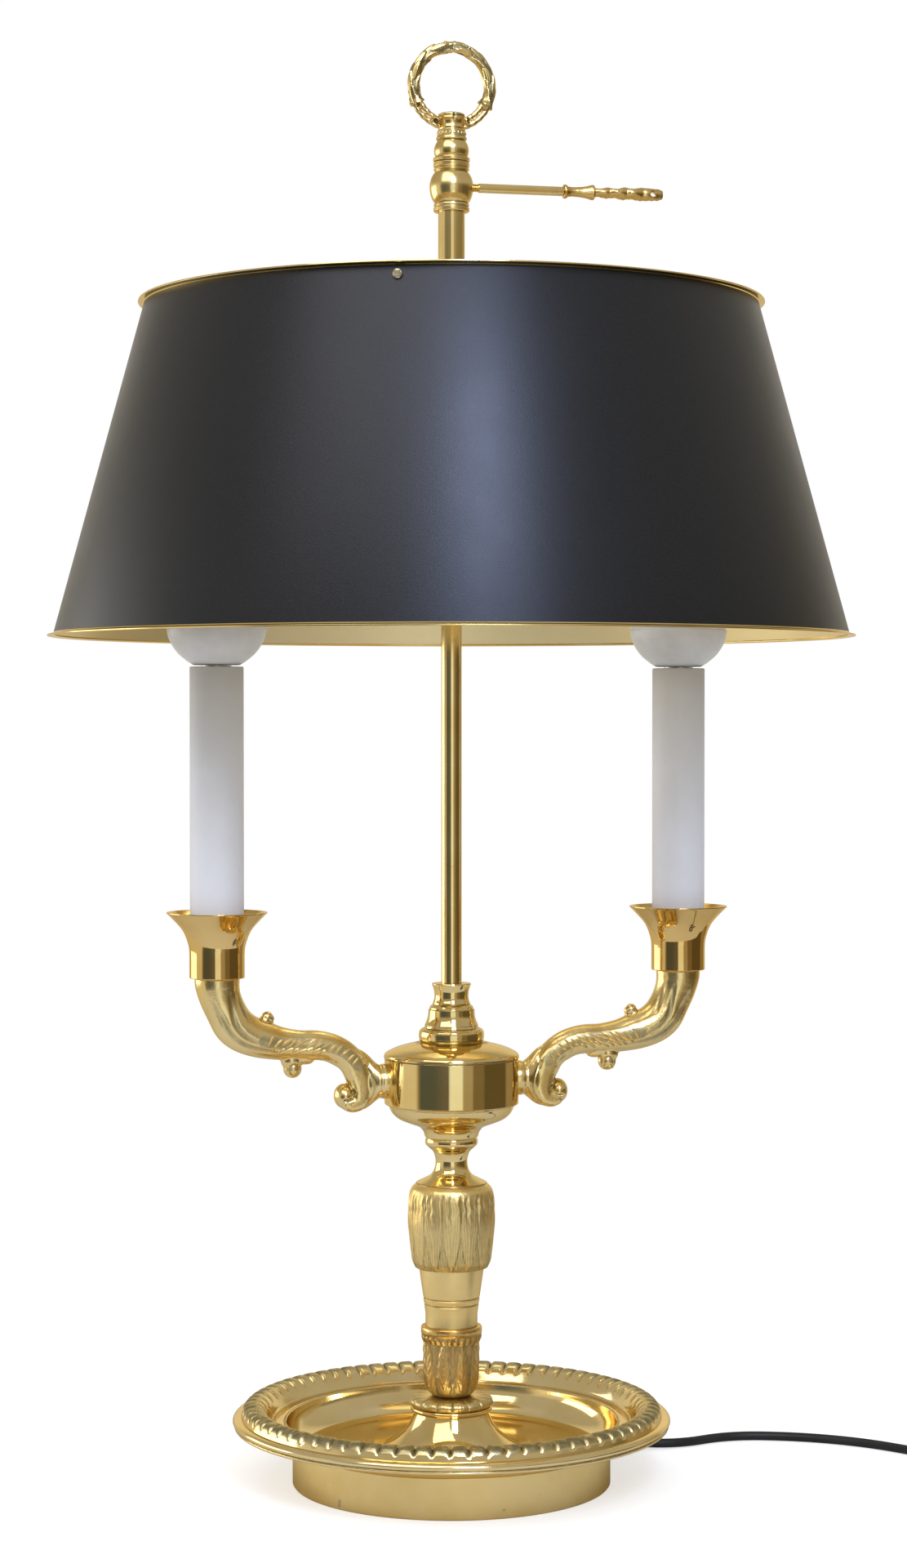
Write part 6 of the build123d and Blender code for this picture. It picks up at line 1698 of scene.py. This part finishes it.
HOLE_AT, HOLE_RADIUS, DRILL_LENGTH = 102.2, 1.45, 18.0
drill_start = Vector((HOLE_AT, 0.0, KEY_Z)) - drill_way * DRILL_LENGTH / 2
drill_steps = [(0.0, HOLE_RADIUS), (DRILL_LENGTH, HOLE_RADIUS)]
skin_over(ring_lathe(drill_steps, drill_start, drill_way, 24), drill_work)
drill = bpy.data.objects.new("drill", finish_mesh("drill", drill_work))
for made in (handle, drill):
    bpy.context.scene.collection.objects.link(made)
hole = handle.modifiers.new("hole", "BOOLEAN")
hole.operation = "DIFFERENCE"
hole.object = drill
hole.solver = "EXACT"
drilled = bpy.data.meshes.new_from_object(handle.evaluated_get(bpy.context.evaluated_depsgraph_get()))
drilled.name = "leaf_handle"
for made in (handle, drill):
    bpy.data.objects.remove(made)
piece("leaf_handle", drilled, "key_grip", "satin_brass", "key_handle")

# --- finial ---------------------------------------------------------------------------------------
# A turned neck screwed on the rod's stud, with a row of beads, and a cast brass laurel wreath: two boughs
# that rise from a cup of leaves, cross at knots and meet at the top, with sawn ends and a few berries.
RING_CENTRE, RING_LINE = 683.2, 19.0
neck_section = section(
    (3.05, 646.5), (8.6, 646.5), (9.0, 646.9), (9.0, 648.0), (8.6, 648.4), (7.9, 648.7), (7.9, 649.2),
    [(8.25, 650.0), (8.5, 651.6), (8.4, 653.2), (7.9, 654.8), (7.1, 656.2), (6.7, 656.7)], (7.2, 657.0),
    (7.6, 657.5), (7.4, 658.3), (6.9, 658.6), (6.8, 661.9), (3.05, 662.0), edge=0.15,
)
turned(
    "finial_foot", neck_section, rubbed, "polished_brass", "finial_neck", sides=128,
    creases=(648.9, 656.8, 658.6),
)


def round_wreath(bearing_angle, reach=RING_LINE):
    """Point of the wreath's circle, its angle reckoned from straight up."""
    return Vector((reach * math.sin(bearing_angle), 0, RING_CENTRE + reach * math.cos(bearing_angle)))


KNOT_AT, WHORL_PITCH, LEAF_LONG, BARK_RADIUS = math.radians(62), 5.6, 9.6, 2.4


def laurel(gone, turn):
    """How far the leaves of a bough stand out, 0 to 1, this far above its knot and this far round it."""
    best = 0.0
    for whorl in range(-1, 8):
        share = (gone - whorl * WHORL_PITCH) / LEAF_LONG
        if not 0 < share < 1:
            continue
        half = 0.74 * math.sin(math.pi * share ** 0.75) ** 0.8
        for leaf in range(3):
            away = turn - 2 * math.pi * leaf / 3 - whorl * 1.32 - 0.3 * math.sin(whorl * 2.2)
            off = abs(math.atan2(math.sin(away), math.cos(away)))
            if off < half:
                dome = math.sqrt(1 - (off / half) ** 2)
                best = max(best, dome ** 0.7 * (0.35 + 0.65 * share) - 0.22 * peak(off / 0.09))
    return best


LEAF_DEPTH, BACKWARDS = 1.25, Vector((0, 1, 0))
wreath_work = bmesh.new()
marks = wreath_work.verts.layers.float.new("recess")
BOUGH_STEPS, BOUGH_SIDES = 320, 44
stem_rings, shadows = [], []
for n in range(BOUGH_STEPS + 1):
    around = (math.pi - KNOT_AT) * (2 * n / BOUGH_STEPS - 1)
    middle = round_wreath(around)
    out = (middle - UP * RING_CENTRE).normalized()
    gone = (math.pi - KNOT_AT - abs(around)) * RING_LINE
    swell = 0.9 * peak(gone / 1.6) - 0.35 * min(1.0, gone / 40.0)
    ring = []
    for k in range(BOUGH_SIDES):
        turn = 2 * math.pi * k / BOUGH_SIDES
        leaf = laurel(gone, turn if around > 0 else math.pi - turn)
        girth = BARK_RADIUS + swell + LEAF_DEPTH * leaf
        ring.append(middle + (out * math.cos(turn) + BACKWARDS * math.sin(turn)) * girth)
        shadows.append(max(0.0, 1 - leaf * 1.7))
    stem_rings.append(ring)
skin_over(stem_rings, wreath_work)
wreath_work.verts.ensure_lookup_table()
for vertex, shadow in zip(wreath_work.verts, shadows):
    vertex[marks] = shadow
TWIG_RADIUS, TWIG_SIDES, TWIG_STEPS, TWIG_APART = 1.35, 14, 24, 1.5
for bough in (1, -1):
    for reach in (RING_LINE + TWIG_APART, RING_LINE - TWIG_APART):
        twig = []
        for n in range(TWIG_STEPS + 1):
            around = bough * (math.pi - KNOT_AT * (1.08 - 0.84 * n / TWIG_STEPS))
            middle = round_wreath(around, reach)
            out = (middle - UP * RING_CENTRE).normalized()
            girth = TWIG_RADIUS + 0.12 * math.sin(n * 1.3)
            twig.append([
                middle + (out * math.cos(turn) + BACKWARDS * math.sin(turn)) * girth
                for turn in (2 * math.pi * k / TWIG_SIDES for k in range(TWIG_SIDES))
            ])
        skin_over(twig, wreath_work)
CUT_SIDES = 28
CUT_END = [
    (-2.6, 0.1), (-2.6, 1.6), (0.0, 1.9), (1.3, 2.0), (1.6, 1.7), (1.2, 1.25), (0.3, 1.1), (0.2, 0.1),
]
cut_ends = [
    (round_wreath(-(math.pi - KNOT_AT), RING_LINE + 0.6), (-0.35, -1.0, -0.1)),
    (round_wreath(math.pi - KNOT_AT, RING_LINE - 0.6), (-0.5, -0.8, 0.5)),
    (Vector((-7.4, -1.6, 666.0)), (-0.7, -0.8, -0.35)), (Vector((7.0, -1.6, 666.3)), (0.7, -0.8, 0.1)),
    (Vector((-7.0, 2.0, 666.0)), (-0.8, 0.8, -0.3)),
    (Vector((7.2, 2.0, 666.2)), (0.8, 0.8, -0.2)),
    (round_wreath(math.pi - KNOT_AT, RING_LINE + 0.4), (0.3, 1.0, 0.1)),
]
for place, way in cut_ends:
    rings = ring_lathe(CUT_END, place, Vector(way).normalized(), CUT_SIDES)
    first_new = len(wreath_work.verts)
    skin_over(rings, wreath_work)
    wreath_work.verts.ensure_lookup_table()
    for vertex in wreath_work.verts[first_new + 5 * CUT_SIDES:]:
        vertex[marks] = 1.0
BERRY_BEARINGS, BERRY_RADIUS, BERRY_OUT = (-8.0, 4.5, 15.5), 1.35, 1.9
for degrees in BERRY_BEARINGS:
    made = bmesh.ops.create_icosphere(wreath_work, subdivisions=3, radius=BERRY_RADIUS * MM)
    berry = round_wreath(math.radians(degrees), RING_LINE + BERRY_OUT)
    bmesh.ops.translate(wreath_work, verts=made["verts"], vec=berry * MM)
CAP_STEPS = [
    (-5.0, 0.1), (-5.0, 2.9), (0.0, 2.9), (0.0, 6.0), (0.6, 6.3), (1.4, 6.1), (2.4, 5.9), (3.6, 6.0),
    (4.6, 6.4), (5.4, 6.9), (6.0, 6.7), (6.2, 6.1), (6.6, 6.0), (7.0, 6.2), (7.5, 6.1), (8.0, 5.2),
    (8.4, 3.6), (8.5, 0.1),
]
cap_rings, shadows = [], []
CAP_SIDES, CAP_FOOT = 120, 662.0
for height, radius in CAP_STEPS:
    ring = []
    for k in range(CAP_SIDES):
        turn = 2 * math.pi * k / CAP_SIDES
        between = abs(math.sin(2 * turn))
        depth = 0.6 * peak(between / 0.12) * held((height - 4.4) / 1.5) * held((9.4 - height) / 0.8)
        wide = radius * (1.06 if height > 4 else 1.0) - depth
        ring.append(Vector((wide * math.cos(turn), (radius - depth) * math.sin(turn), CAP_FOOT + height)))
        shadows.append(min(1.0, depth * 1.6 + 0.9 * peak((height - 6.3) / 0.5)))
    cap_rings.append(ring)
first_new = len(wreath_work.verts)
skin_over(cap_rings, wreath_work)
wreath_work.verts.ensure_lookup_table()
for vertex, shadow in zip(wreath_work.verts[first_new:], shadows):
    vertex[marks] = shadow
wreath_metal = brass("wreath_brass", 0.21, turning=0.0, cast=0.06, tarnish_and_shade=1.25)
formed("wreath_bough", wreath_work, wreath_metal, "lamp", "polished_brass", "finial_ring", sharp=50)

bead_row = lozenge("bead_row", 6, 8, 0.5)
bead_places = []
BEADS, BEAD_CIRCLE, BEAD_Z = 20, 6.5, 659.9
for k in range(BEADS):
    turn = 2 * math.pi * k / BEADS
    out = Vector((math.cos(turn), math.sin(turn), 0))
    bead_places.append((UP * BEAD_Z + out * BEAD_CIRCLE, UP, out, (2.3, 1.7, 1.5)))
bead_mesh = stamped("finial_beads", bead_row, bead_places, wreath_metal)
piece("finial_beads", bead_mesh, "lamp", "polished_brass")
